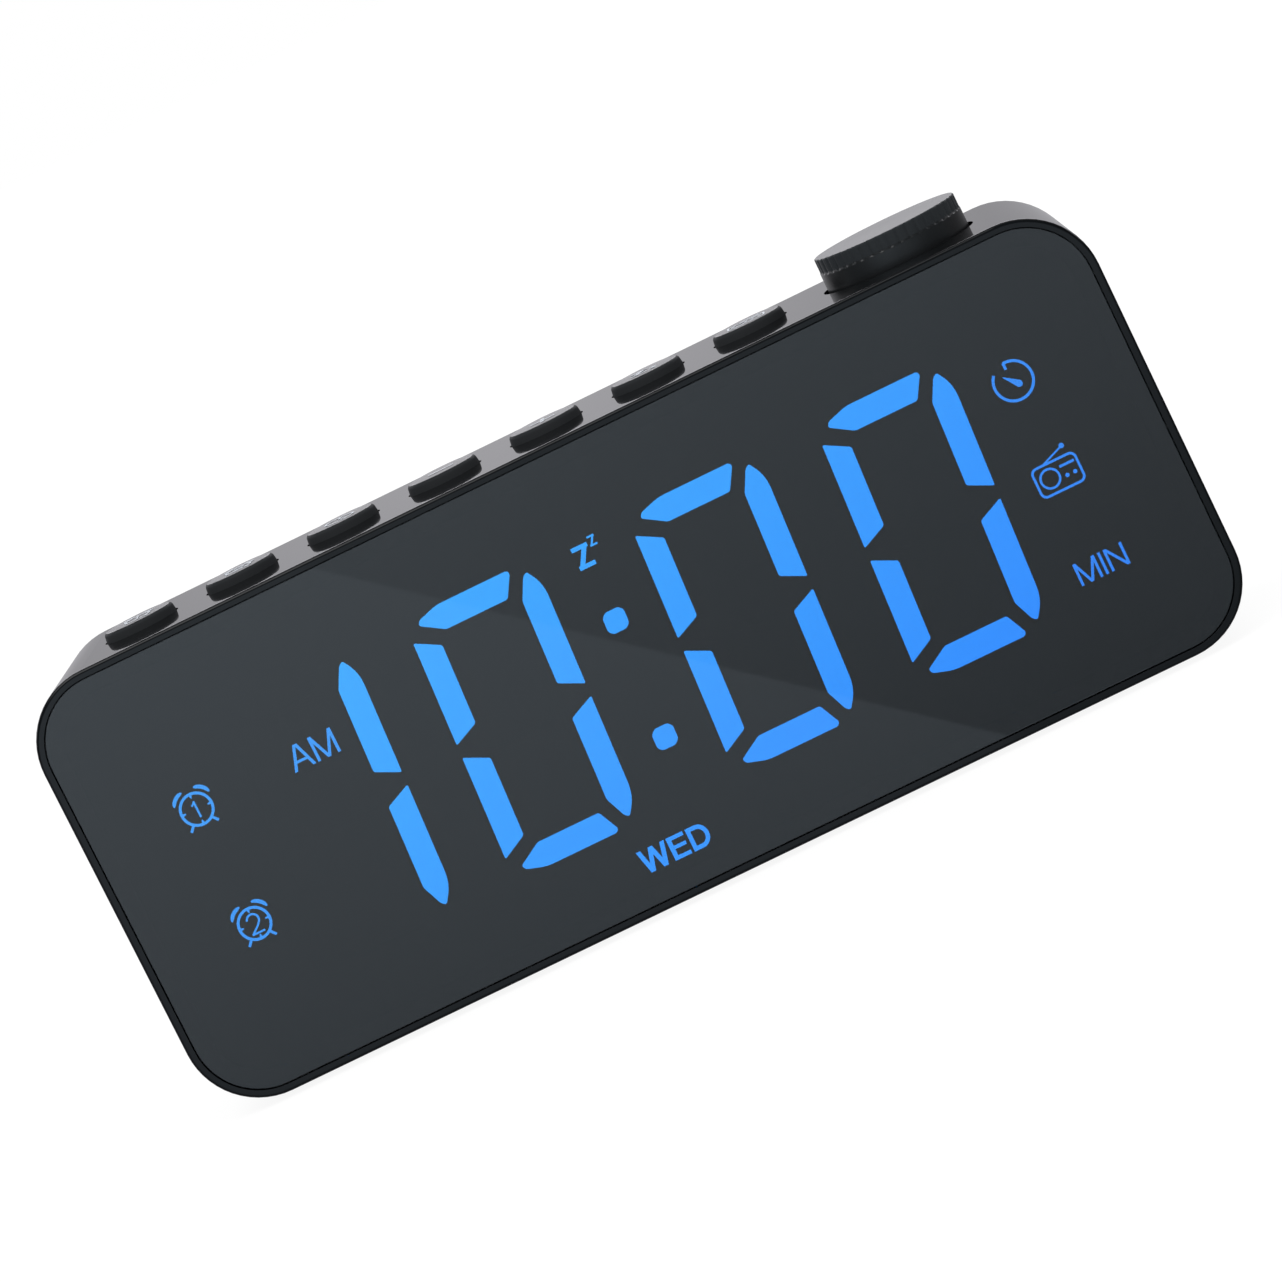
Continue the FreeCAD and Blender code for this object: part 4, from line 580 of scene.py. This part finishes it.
def mergedCopy(node):
    # A node's loose triangles as one welded surface, with its flat faces whole again.
    mesh = bmesh.new()
    mesh.from_mesh(nodes[node].data)
    bmesh.ops.remove_doubles(mesh, verts=mesh.verts, dist=1e-6)
    bmesh.ops.dissolve_limit(mesh, angle_limit=0.01, verts=mesh.verts, edges=mesh.edges)
    return mesh


def widened(points, corner, reach):
    # Moves the outer wall of a plate outwards, along the slope of the distance to its rounded outline.
    wall = 0.5 * mm  # only points this near to the outline move
    flat = points[:, (0, 2)] - (0, faceMiddle)
    beyond = np.abs(flat) - (np.abs(flat).max(axis=0) - corner)
    outside = np.clip(beyond, 0, None)
    length = np.linalg.norm(outside, axis=1)
    distance = length + np.clip(beyond.max(axis=1), None, 0) - corner
    way = outside / np.maximum(length, 1e-9)[:, None] * np.sign(flat)
    points[:, (0, 2)] += way * np.where(distance > -wall, reach, 0)[:, None]
    return points


def shiftedPlate(node, name, settings):
    # A merged copy of a plate, grown a little at its outer wall.
    copy = mergedCopy(node)
    data = bpy.data.meshes.new(name)
    copy.to_mesh(data)
    copy.free()
    points = np.empty(len(data.vertices) * 3)
    data.vertices.foreach_get("co", points)
    points = widened(points.reshape(-1, 3), settings["corner"], settings["reach"])
    data.vertices.foreach_set("co", points.ravel())
    data.update()
    return data


def frontOf(mesh, depth):
    # The points of a mesh that lie within a depth of its foremost one.
    front = min(vertex.co.y for vertex in mesh.verts)
    return {vertex for vertex in mesh.verts if vertex.co.y < front + depth}


def makeLens(settings):
    # The lens grown nearly to the rim round it, its front edge rounded, held off its ledge by a line of glue.
    data = shiftedPlate("front_lens", "display_lens", settings)
    mesh = bmesh.new()
    mesh.from_mesh(data)
    for vertex in set(mesh.verts) - frontOf(mesh, settings["deep"]):
        vertex.co.y -= settings["seat"]
    front = frontOf(mesh, 0.01 * mm)
    bmesh.ops.bevel(mesh, geom=[edge for edge in mesh.edges if front.issuperset(edge.verts)],
                    offset=settings["bevel"], offset_type="OFFSET", segments=settings["bevelSteps"],
                    profile=0.5, affect="EDGES", clamp_overlap=True)
    for face in mesh.faces:
        face.smooth = abs(face.normal.y) < settings["flat"]
    mesh.to_mesh(data)
    mesh.free()
    newPiece("display_lens", data, ["smoked lens"], "case", ["front_lens"])


makeLens(lensSettings)


filmSettings = {
    "corner": 8.15 * mm,
    "reach": 0.26 * mm,  # how far its edge goes on, to just short of the ledge round it
}


def makeFilm(settings):
    # The black film, grown to cover the slit along its ledge.
    data = shiftedPlate("display_mask", "display_film", settings)
    newPiece("display_film", data, ["film black"], "case", ["display_mask"])


makeFilm(filmSettings)


segmentSettings = {
    "deep": 0.5 * mm,  # edges longer than this from front to back are corners of the outline
    "blunt": 0.38,  # radians; corners that turn less than this are blunt
    "bow": 0.95 * mm,  # rounding of the blunt corners and of the others
    "corner": 0.36 * mm,
    "forward": 0.40 * mm,  # how far the diffusers come forward into the film's windows
}


def makeSegments(name, node, settings):
    # A merged copy of the light diffusers with rounded corners, brought forward into the windows.
    mesh = mergedCopy(node)
    corners = {"corner": [], "bow": []}
    for edge in mesh.edges:
        if abs(edge.verts[0].co.y - edge.verts[1].co.y) > settings["deep"]:
            corners["bow" if edge.calc_face_angle() < settings["blunt"] else "corner"].append(edge)
    for kind, edges in corners.items():
        bmesh.ops.bevel(mesh, geom=[edge for edge in edges if edge.is_valid], offset=settings[kind],
                        offset_type="OFFSET", segments=5, profile=0.5, affect="EDGES")
    for vertex in frontOf(mesh, settings["deep"]):
        vertex.co.y -= settings["forward"]
    for face in mesh.faces:
        face.material_index = 0 if face.normal.y < -0.9 else 1
        face.smooth = False
    data = bpy.data.meshes.new(name)
    mesh.to_mesh(data)
    mesh.free()
    return newPiece(name, data, ["blue light", "film black"], "case", [node])


makeSegments("digit_segments", "lit_segments", segmentSettings)
makeSegments("colon_lights", "colon_dots", segmentSettings)
print("digits made")


# Flat signs are drawn in a plane, in millimetres: u to the right and v up.

def circlePoints(centre, radius, start, end, count):
    # Points on a circle from one angle to another, in degrees.
    turn = np.radians(np.linspace(start, end, count))
    return np.stack([centre[0] + radius * np.cos(turn), centre[1] + radius * np.sin(turn)], axis=1)


def strip(path, width, closed=False, side=None):
    # A stroke carried along a path: the two edges of each station lie half the width to either side of it, in
    # the direction of the side where one is given.
    path = np.asarray(path, float)
    width = np.broadcast_to(width, len(path))
    after = np.roll(path, -1, axis=0) - path
    before = np.roll(after, 1, axis=0)
    if not closed:
        after[-1] = after[-2]
        before[0] = after[0]
    after /= np.linalg.norm(after, axis=1)[:, None]
    before /= np.linalg.norm(before, axis=1)[:, None]
    along = after + before
    along /= np.linalg.norm(along, axis=1)[:, None]
    left = np.stack([-along[:, 1], along[:, 0]], axis=1)
    bend = np.clip(np.sum(along * after, axis=1), 0.4, 1)  # keeps sharp turns from growing spikes
    across = left * (width / 2 / bend)[:, None]
    if side is not None:
        across = np.sign(left @ side)[:, None] * side * (width / 2)[:, None]
    return path + across, path - across, closed


def stripMesh(strips, thickness):
    # Each stroke gets its thickness: the four corners of every station, joined to the next station's.
    vertices = []
    faces = []
    start = 0
    for left, right, closed in strips:
        count = len(left)
        around = (left, thickness), (right, thickness), (right, 0), (left, 0)
        corners = np.stack([np.insert(edge, 2, level, axis=1) for edge, level in around], axis=1)
        station = np.arange(count if closed else count - 1)
        following = (station + 1) % count
        for corner in range(4):
            other = (corner + 1) % 4
            quads = [station * 4 + other, following * 4 + other, following * 4 + corner, station * 4 + corner]
            faces.append(np.stack(quads, axis=1) + start)
        if not closed:
            final = (count - 1) * 4
            ends = [[3, 2, 1, 0], [final, final + 1, final + 2, final + 3]]
            faces.append(np.array(ends) + start)
        vertices.append(corners.reshape(-1, 3))
        start += count * 4
    return np.concatenate(vertices), np.concatenate(faces).tolist()


def dot(centre, radius):
    # A filled disc: a stroke along its diameter, as wide at each station as the circle is there.
    path = circlePoints(centre, radius, 172, 8, 14)
    width = 2 * (path[:, 1] - centre[1])
    path[:, 1] = centre[1]
    return strip(path, width)


def ring(centre, radius, width):
    return strip(circlePoints(centre, radius, 0, 355, 72), width, closed=True)


def roundedFrame(centre, size, corner, width):
    # A rounded rectangle, as the quarter circles at its corners joined by straight runs.
    quarters = []
    for sideU, sideV, start in ((1, 1, 0), (-1, 1, 90), (-1, -1, 180), (1, -1, 270)):
        middle = (centre[0] + sideU * (size[0] / 2 - corner),
                  centre[1] + sideV * (size[1] / 2 - corner))
        quarters.append(circlePoints(middle, corner, start, start + 90, 9))
    return strip(np.concatenate(quarters), width, closed=True)


def slant(low, high, width):
    # A straight stroke whose ends are cut level.
    wide = width * math.hypot(high[0] - low[0], high[1] - low[1]) / abs(high[1] - low[1])
    return strip([low, high], wide, side=(1, 0))


def bar(left, right, level, width):
    return strip([(left, level), (right, level)], width)


def letter(name, left, width, height, stroke):
    # Plain capitals on the line v = 0, from level-cut slants, bars and, for the D, a bowed stroke.
    right = left + width
    middle = left + width / 2
    half = stroke / 2

    def leg(low, high=None):
        # A stroke from the line to the full height, upright when only its foot is given.
        return slant((low, 0), (low if high is None else high, height), stroke)

    if name == "A":
        return [leg(left + half, middle - half * 0.45), leg(right - half, middle + half * 0.45),
                bar(left + width * 0.22, right - width * 0.22, height * 0.34, stroke * 0.9)]
    if name == "M":
        return [leg(left + half), leg(right - half), leg(middle, left + half * 1.15),
                leg(middle, right - half * 1.15)]
    if name == "I":
        return [leg(middle)]
    if name == "N":
        return [leg(left + half), leg(right - half), leg(right - half * 1.2, left + half * 1.2)]
    if name == "W":
        foot = width * 0.27
        return [leg(left + foot, left + half), leg(left + foot, middle), leg(right - foot, middle),
                leg(right - foot, right - half)]
    if name == "E":
        return [leg(left + half), bar(left, right, height - half * 0.86, stroke * 0.86),
                bar(left, right - width * 0.04, height * 0.52, stroke * 0.80),
                bar(left, right, half * 0.86, stroke * 0.86)]
    if name == "D":
        bow = circlePoints((0, 0), 1, 90, -90, 25) * (width * 0.52 - half, height / 2 - half)
        bow += (right - width * 0.52, height / 2)
        run = [(left, height - half)], bow, [(left, half)]
        return [leg(left + half), strip(np.concatenate(run), stroke)]
    cut = stroke * 0.4  # the Z
    return [bar(left, right, height - half * 0.92, stroke * 0.92),
            bar(left, right, half * 0.92, stroke * 0.92),
            slant((left + stroke * 0.62, cut), (right - stroke * 0.62, height - cut), stroke)]


alarmSettings = {
    "ring": (2.69, 0.47),  # millimetres like all signs: radius and width
    "bell": 3.78,  # radius of a bell's middle line
    "bellEnds": 0.15,  # how much further in its ends lie
    "bellTurn": 38.8,  # degrees from upright to its middle
    "bellHalf": 22.0,  # degrees from there to its ends
    "bellWidth": (0.20, 0.44),  # at its ends, and how much more in its middle
    "leg": ((1.67, -2.19), (2.48, -3.16)),
    "legWidth": 0.44,
    "tick": (2.5, 1.95),  # from its outer end to its inner one
    "tickWidth": (0.5, 0.16),
}


def alarmSign(number, settings):
    # A twin-bell alarm clock: ring, bells, legs, four ticks and its number.
    strips = [ring((0, 0), *settings["ring"])]
    share = np.linspace(-1, 1, 17)
    reach = settings["bell"] - settings["bellEnds"] * share ** 2
    bellWidth = settings["bellWidth"][0] + settings["bellWidth"][1] * (1 - share ** 4)
    for side in (-1, 1):
        turn = np.radians(90 - side * (settings["bellTurn"] + settings["bellHalf"] * share))
        bell = np.stack([reach * np.cos(turn), reach * np.sin(turn)], axis=1)
        strips.append(strip(bell, bellWidth))
        strips.append(strip(np.multiply(settings["leg"], (side, 1)), settings["legWidth"]))
    for way in circlePoints((0, 0), 1, 0, 270, 4):
        strips.append(strip(np.outer(settings["tick"], way), settings["tickWidth"]))
    if number == "1":
        strips.append(strip([(-0.55, 0.72), (-0.10, 1.05), (0.06, 1.38)], 0.30))
        strips.append(bar(-0.10, 0.24, -0.05, 2.86))
    else:
        hook = circlePoints((0.0, 0.62), 1.0, 168, -32, 24)
        strips.append(strip(np.concatenate([hook, [(0.35, -0.50), (-0.45, -1.15), (-1.02, -1.62)]]), 0.34))
        strips.append(bar(-1.15, 1.12, -1.66, 0.32))
    return strips


def timerSign():
    # An open dial with a mark at its top, and a pointer that widens to its round end.
    share = np.linspace(0, 1, 14)
    line = np.outer(1 - share, (-1.32, 1.22)) + np.outer(share, (1.08, -1.18))
    end = 1.17 * np.sqrt(np.clip(1 - ((share - 0.82) / 0.19) ** 2, 0, 1))
    return [strip(circlePoints((0, 0), 3.27, 96, -220, 96), 0.47),
            strip([(-0.34, 3.30), (-0.30, 2.15)], 0.46),
            strip(line, np.where(share < 0.82, 0.10 + 1.30 * share, end))]


def radioSign():
    # A portable radio with its aerial out, a round speaker, a scale and two knobs.
    return [roundedFrame((0, -0.92), (7.62, 5.0), 0.95, 0.41), ring((-1.41, -0.86), 1.60, 0.38),
            bar(0.72, 3.32, 0.25, 0.42), dot((1.34, -1.52), 0.35), dot((2.74, -1.52), 0.35),
            strip([(-1.70, 1.58), (2.45, 3.22)], 0.29), dot((2.48, 3.24), 0.44)]


def clockSign():
    # A clock face with its hands.
    return [ring((0, 0), 3.0, 0.5), slant((0, 0), (0, 2.0), 0.5), strip([(-0.2, 0.1), (1.5, -0.9)], 0.5)]


def placedSign(name, strips, thickness, matrix, finish, body):
    # A sign with its thickness, carried to its place as a piece.
    mesh = meshFrom(name, *stripMesh(strips, thickness))
    mesh.transform(matrix)
    return newPiece(name, mesh, [finish], body)


signSettings = {
    "thickness": 0.12,  # millimetres
    "gap": 0.06 * mm,  # between a sign and the dark film behind it
    "signs": {  # centre across and up from the middle of the face, finish and strokes
        "alarm_1_symbol": (-75.46, 9.82, "dim blue light", alarmSign("1", alarmSettings)),
        "alarm_2_symbol": (-75.46, -11.31, "dim blue light", alarmSign("2", alarmSettings)),
        "morning_word": (-58.32, 8.09, "dim blue light",
                         letter("A", 0, 3.82, 4.32, 0.50) + letter("M", 4.22, 4.12, 4.32, 0.50)),
        "snooze_symbol": (-1.90, 17.45, "blue light", letter("Z", 0, 2.86, 3.95, 0.80)),
        "snooze_small_symbol": (1.32, 20.31, "blue light", letter("Z", 0, 1.25, 1.80, 0.34)),
        "timer_symbol": (74.52, 14.62, "dim blue light", timerSign()),
        "radio_symbol": (74.49, -1.52, "dim blue light", radioSign()),
        "minutes_word": (70.20, -20.55, "dim blue light", letter("M", 0, 3.84, 3.86, 0.46)
                         + letter("I", 4.42, 0.46, 3.86, 0.46) + letter("N", 5.44, 3.28, 3.86, 0.46)),
        "weekday_word": (-14.29, -32.28, "blue light", letter("W", 0, 5.04, 4.02, 0.76)
                         + letter("E", 5.36, 3.00, 4.02, 0.76) + letter("D", 8.84, 3.46, 4.02, 0.72)),
    },
}


def makeSigns(settings):
    # The signs stand upright just in front of the dark films, behind the lens.
    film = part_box("symbol_diffusers")[0].y
    for name, (across, up, finish, strips) in settings["signs"].items():
        matrix = Matrix.Translation((across * mm, film - settings["gap"], faceMiddle + up * mm))
        matrix = matrix @ Matrix.Rotation(math.pi / 2, 4, "X") @ Matrix.Scale(mm, 4)
        placedSign(name, strips, settings["thickness"], matrix, finish, "case")


makeSigns(signSettings)
print("display signs made")


def closedSurface(name, rings):
    # Rings of points from pole to pole, joined by quads. The first and the last ring close to a point.
    rows, columns = rings.shape[:2]
    poles = [rings[0].mean(axis=0), rings[-1].mean(axis=0)]
    vertices = np.concatenate([rings.reshape(-1, 3), poles])
    column = np.arange(columns)
    following = (column + 1) % columns
    row = np.arange(rows - 1)[:, None] * columns
    lower = row + columns
    quads = np.stack([row + column, lower + column, lower + following, row + following], axis=-1)
    first = np.stack([np.full(columns, rows * columns), column, following], axis=1)
    final = (rows - 1) * columns
    last = np.stack([np.full(columns, rows * columns + 1), final + following, final + column], axis=1)
    mesh = meshFrom(name, vertices, quads.reshape(-1, 4).tolist() + first.tolist() + last.tolist())
    mesh.polygons.foreach_set("use_smooth", np.ones(len(mesh.polygons), bool))
    return mesh


def turned(radius, turn, level):
    # Points at a radius and a level round an upright axis.
    return np.stack([radius * np.cos(turn), radius * np.sin(turn), level + 0 * turn], axis=-1)


def profilePoints(settings, *names):
    # Each point is given by the names of its radius and its height.
    return [(settings[radius], settings[height]) for radius, height in names]


def crispEdges(mesh, limit):
    # Faces that meet at less than the limit shade as one; sharper edges stay crisp.
    work = bmesh.new()
    work.from_mesh(mesh)
    for edge in work.edges:
        edge.smooth = len(edge.link_faces) == 2 and edge.calc_face_angle(0) < limit
    work.to_mesh(mesh)
    work.free()


def faceHeights(mesh, measure):
    # The upward part of each face's normal or centre.
    values = np.empty(len(mesh.polygons) * 3)
    mesh.polygons.foreach_get(measure, values)
    return values[2::3]


def setFinishes(mesh, choice):
    # Each face takes the finish that its number in the piece's list gives.
    mesh.polygons.foreach_set("material_index", choice.astype(np.int32))


buttonSettings = {
    "radius": 6.45,  # millimetres, like all sizes here; heights are over the top of the case
    "draft": 0.14,  # how much narrower it is at its top
    "rise": 1.65,
    "edge": 0.75,  # radius of its rounded edge
    "dish": 0.10,  # how far its top sinks in the middle
    "flange": 7.45,
    "flangeTop": -2.35,
    "flangeBottom": -3.35,
    "inner": 5.05,
    "ceiling": 0.25,
    "stem": 2.2,
    "stemBottom": -6.5,
    "pole": 0.44,  # radius of the last ring, before its surface closes
    "columns": 96,
    "crisp": 0.6,  # radians from which an edge shades sharp
    "level": 0.86,  # upward part of the normal from which a face is part of the top
}


def buttonProfile(settings):
    # From the middle of the dished top outwards, round the edge, down the side and back through the hollow.
    edge = settings["edge"]
    radius = settings["radius"]
    rim = radius - settings["draft"] - edge
    spread = np.linspace(0.05, 1, 12)
    dish = np.stack([spread * rim, settings["rise"] - settings["dish"] * (1 - spread ** 2)], axis=1)
    return np.concatenate([
        dish, circlePoints((rim, settings["rise"] - edge), edge, 84, 4, 9), [(radius, 0)],
        profilePoints(settings, ("radius", "flangeTop"), ("flange", "flangeTop"), ("flange", "flangeBottom"),
                      ("inner", "flangeBottom"), ("inner", "ceiling"), ("stem", "ceiling"),
                      ("stem", "stemBottom"), ("pole", "stemBottom"))])


def makeButtons(settings):
    # Each cap is its profile of radius and height, carried round its axis.
    profile = buttonProfile(settings)
    turn = np.linspace(0, 2 * np.pi, settings["columns"], endpoint=False)
    rings = turned(profile[:, :1], turn, profile[:, 1:]) * mm
    for name in buttonNames:
        low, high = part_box(name + "_button")
        place = ((low.x + high.x) / 2, (low.y + high.y) / 2, high.z - settings["rise"] * mm)
        mesh = closedSurface(name + "_cap", rings + place)
        crispEdges(mesh, settings["crisp"])
        # Faces that aren't part of the top take the first finish, whose colour is painted lighter than the
        # top's: painted light.
        setFinishes(mesh, faceHeights(mesh, "normal") > settings["level"])
        newPiece(name + "_cap", mesh, ["button black painted lighter", "button top"], name + "_key",
                 [name + "_button"])


makeButtons(buttonSettings)


knobSettings = {
    "grip": 12.7,  # millimetres, like all sizes here; heights are over the top of the case
    "skirt": 12.79,
    "top": 5.85,
    "edge": 0.3,
    "gripBottom": 3.55,
    "skirtTop": 3.05,
    "skirtRings": (3.0, 2.9, 1.2),
    "foot": 0.2,  # radius of its lower edge
    "bottom": -0.4,
    "inner": 11.1,
    "ceiling": 4.5,
    "hub": 5.0,
    "hubBottom": 0.3,
    "bore": 3.02,
    "boreTop": 4.5,
    "pole": 0.6,  # radius of the first and last ring, before the surface closes
    "grooves": 45,
    "grooveDepth": 0.14,
    "grooveWidth": 0.30,
    "grooveTurn": 4.0,  # degrees from the X axis to the first groove
    "grooveColumns": 12,  # columns of faces to a groove
    "fadeTop": 0.12,  # height over which a groove runs out at its top and its bottom
    "fadeBottom": 0.2,
    "crisp": 0.7,
    "level": 0.86,
}


def knobProfile(settings):
    # From the middle of the top outwards, down grip and skirt, and back inside round the hub and its bore.
    edge = settings["edge"]
    rim = settings["grip"] - edge
    skirt = settings["skirt"]
    foot = settings["foot"]
    grip = np.linspace(settings["top"] - edge * 1.3, settings["gripBottom"], 9)
    step = np.linspace(0, 1, 7)[1:]
    ledge = settings["grip"] + (skirt - settings["grip"]) * (3 * step ** 2 - 2 * step ** 3)
    fall = settings["gripBottom"] + (settings["skirtTop"] - settings["gripBottom"]) * step
    return np.concatenate([
        np.stack([np.linspace(settings["pole"], rim - edge, 8), np.full(8, settings["top"])], axis=1),
        circlePoints((rim, settings["top"] - edge), edge, 86, 4, 7),
        np.stack([np.full(9, settings["grip"]), grip], axis=1), np.stack([ledge, fall], axis=1),
        [(skirt, level) for level in settings["skirtRings"]],
        circlePoints((skirt - foot, settings["bottom"] + foot), foot, 0, -90, 5),
        profilePoints(settings, ("inner", "bottom"), ("inner", "ceiling"), ("hub", "ceiling"),
                      ("hub", "hubBottom"), ("bore", "hubBottom"), ("bore", "boreTop"), ("pole", "boreTop"))])


def grooves(radius, turn, level, settings):
    # The depth of the grooves: a bell curve of the distance to a groove's middle, that runs out at both ends.
    count = settings["grooves"]
    apart = ((turn - np.radians(settings["grooveTurn"])) * count / (2 * np.pi) + 0.5) % 1 - 0.5
    pitch = 2 * np.pi * settings["grip"] / count
    bell = np.exp(-(apart * pitch / settings["grooveWidth"]) ** 2)
    foot = np.clip((level - settings["skirtTop"]) / settings["fadeBottom"], 0, 1)
    head = np.clip((settings["top"] - level) / settings["fadeTop"], 0, 1)
    return settings["grooveDepth"] * bell * foot * head * (radius > settings["inner"])


def makeKnob(settings):
    # The knob is its profile carried round its axis, less the grooves. Its grip has a duller finish and a
    # colour painted lighter than the rest of the knob: painted light.
    low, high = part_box("knob_cap")
    place = ((low.x + high.x) / 2, (low.y + high.y) / 2, high.z - settings["top"] * mm)
    turn = np.linspace(0, 2 * np.pi, settings["grooves"] * settings["grooveColumns"], endpoint=False)
    radius, level = np.hsplit(knobProfile(settings), 2)
    radius = radius - grooves(radius, turn, level, settings)
    mesh = closedSurface("knurled_knob", turned(radius, turn, level) * mm + place)
    crispEdges(mesh, settings["crisp"])
    onGrip = faceHeights(mesh, "center") > place[2] + (settings["gripBottom"] - 0.05) * mm
    setFinishes(mesh, np.where(faceHeights(mesh, "normal") > settings["level"], 1, np.where(onGrip, 2, 0)))
    newPiece("knurled_knob", mesh, ["knob black", "knob top", "knob grip painted lighter"], "knob",
             ["knob_cap"])


makeKnob(knobSettings)
print("buttons and knob made")


markSettings = {
    "thickness": 0.03,  # millimetres
    "sunk": 0.01 * mm,  # how far its underside lies in the cap
    "scale": 0.85,
    "marks": {
        "alarm_1": alarmSign("1", alarmSettings),
        "alarm_2": alarmSign("2", alarmSettings),
        "clock": clockSign(),
        "minus": [bar(-2.7, 2.7, 0, 0.8)],
        "plus": [bar(-2.7, 2.7, 0, 0.8), slant((0, -2.7), (0, 2.7), 0.8)],
        "sleep": letter("Z", -2.5, 3.4, 4.4, 0.8) + letter("Z", 1.4, 1.7, 2.2, 0.45),
        "radio": radioSign(),
    },
}


def makeMarks(settings):
    # A printed sign on top of each button, a hair above its face.
    scale = settings["scale"] * mm
    for name, strips in settings["marks"].items():
        low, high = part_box(name + "_button")
        drawn = np.concatenate([np.concatenate(pair[:2]) for pair in strips])
        middle = (drawn.min(axis=0) + drawn.max(axis=0)) / 2 * scale
        place = ((low.x + high.x) / 2 - middle[0], (low.y + high.y) / 2 - middle[1],
                 high.z - settings["sunk"])
        matrix = Matrix.Translation(place) @ Matrix.Diagonal((scale, scale, mm, 1))
        placedSign(name + "_mark", strips, settings["thickness"], matrix, "print grey", name + "_key")


makeMarks(markSettings)
print("button marks made")


screwSettings = {
    "headRadius": 2.4 * mm,
    "headHeight": 1.3 * mm,
    "dome": 0.35 * mm,  # how much the head rises to its middle
    "recess": 0.95 * mm,  # depth of the cross
    "armWidth": 0.95 * mm,
    "armLength": 3.0 * mm,
    "armEdge": (0.85, 1.15),  # where its sloped side starts and ends, as shares of its half size
    "shankRadius": 1.05 * mm,
    "thread": 0.14 * mm,
    "pitch": 0.9 * mm,
    "point": 1.2 * mm,  # length of the pointed end
    "columns": 72,
}


def screwRings(place, top, tip, settings):
    # The head is a height over the disc: a dome less a cross with sloped sides. The radius of the shank rises
    # and falls with its thread.
    head = settings["headRadius"]
    height = settings["headHeight"]
    turn = np.linspace(0, 2 * np.pi, settings["columns"], endpoint=False)
    spread = np.linspace(0.04, 1, 22)[:, None] * head
    size = np.abs(turned(spread, turn, 0 * spread)[..., :2])
    width, length = settings["armWidth"], settings["armLength"]
    arm = np.minimum((size / (width, length)).max(axis=-1), (size / (length, width)).max(axis=-1)) * 2
    start, end = settings["armEdge"]
    cross = np.clip((end - arm) / (end - start), 0, 1) * (1 - 0.5 * spread / head)
    level = settings["dome"] * (1 - (spread / head) ** 2) - settings["recess"] * cross
    down = np.linspace(height, top - tip, 40)[:, None]
    wave = np.abs((down / settings["pitch"] + turn / (2 * np.pi)) % 1 - 0.5) * 2
    taper = np.clip((top - tip - down) / settings["point"], 0.15, 1)
    rim = np.array([[head], [head * 0.97], [settings["shankRadius"]]])
    edge = turned(rim, turn, np.array([[-height * 0.9], [-height], [-height]]))
    shank = turned((settings["shankRadius"] - settings["thread"] * wave) * taper, turn, -down)
    rings = np.concatenate([turned(spread, turn, level), edge, shank])
    facing = np.stack([-rings[..., 0], rings[..., 2], rings[..., 1]], axis=-1)  # the head looks backwards
    return facing + (place[0], top - settings["dome"], place[1])


def makeScrews(settings):
    # Cross-recessed heads on threaded shanks in the corners of the rear cover.
    low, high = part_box("cover_screws")
    reach = settings["headRadius"]
    places = [(across, up) for across in (low.x + reach, high.x - reach)
              for up in (low.z + reach, high.z - reach)]
    for index, place in enumerate(places):
        name = "cover_screw_%d" % (index + 1)
        mesh = closedSurface(name, screwRings(place, high.y, low.y, settings))
        newPiece(name, mesh, ["screw black"], "case", () if index else ["cover_screws"])


makeScrews(screwSettings)
print("cover screws made")
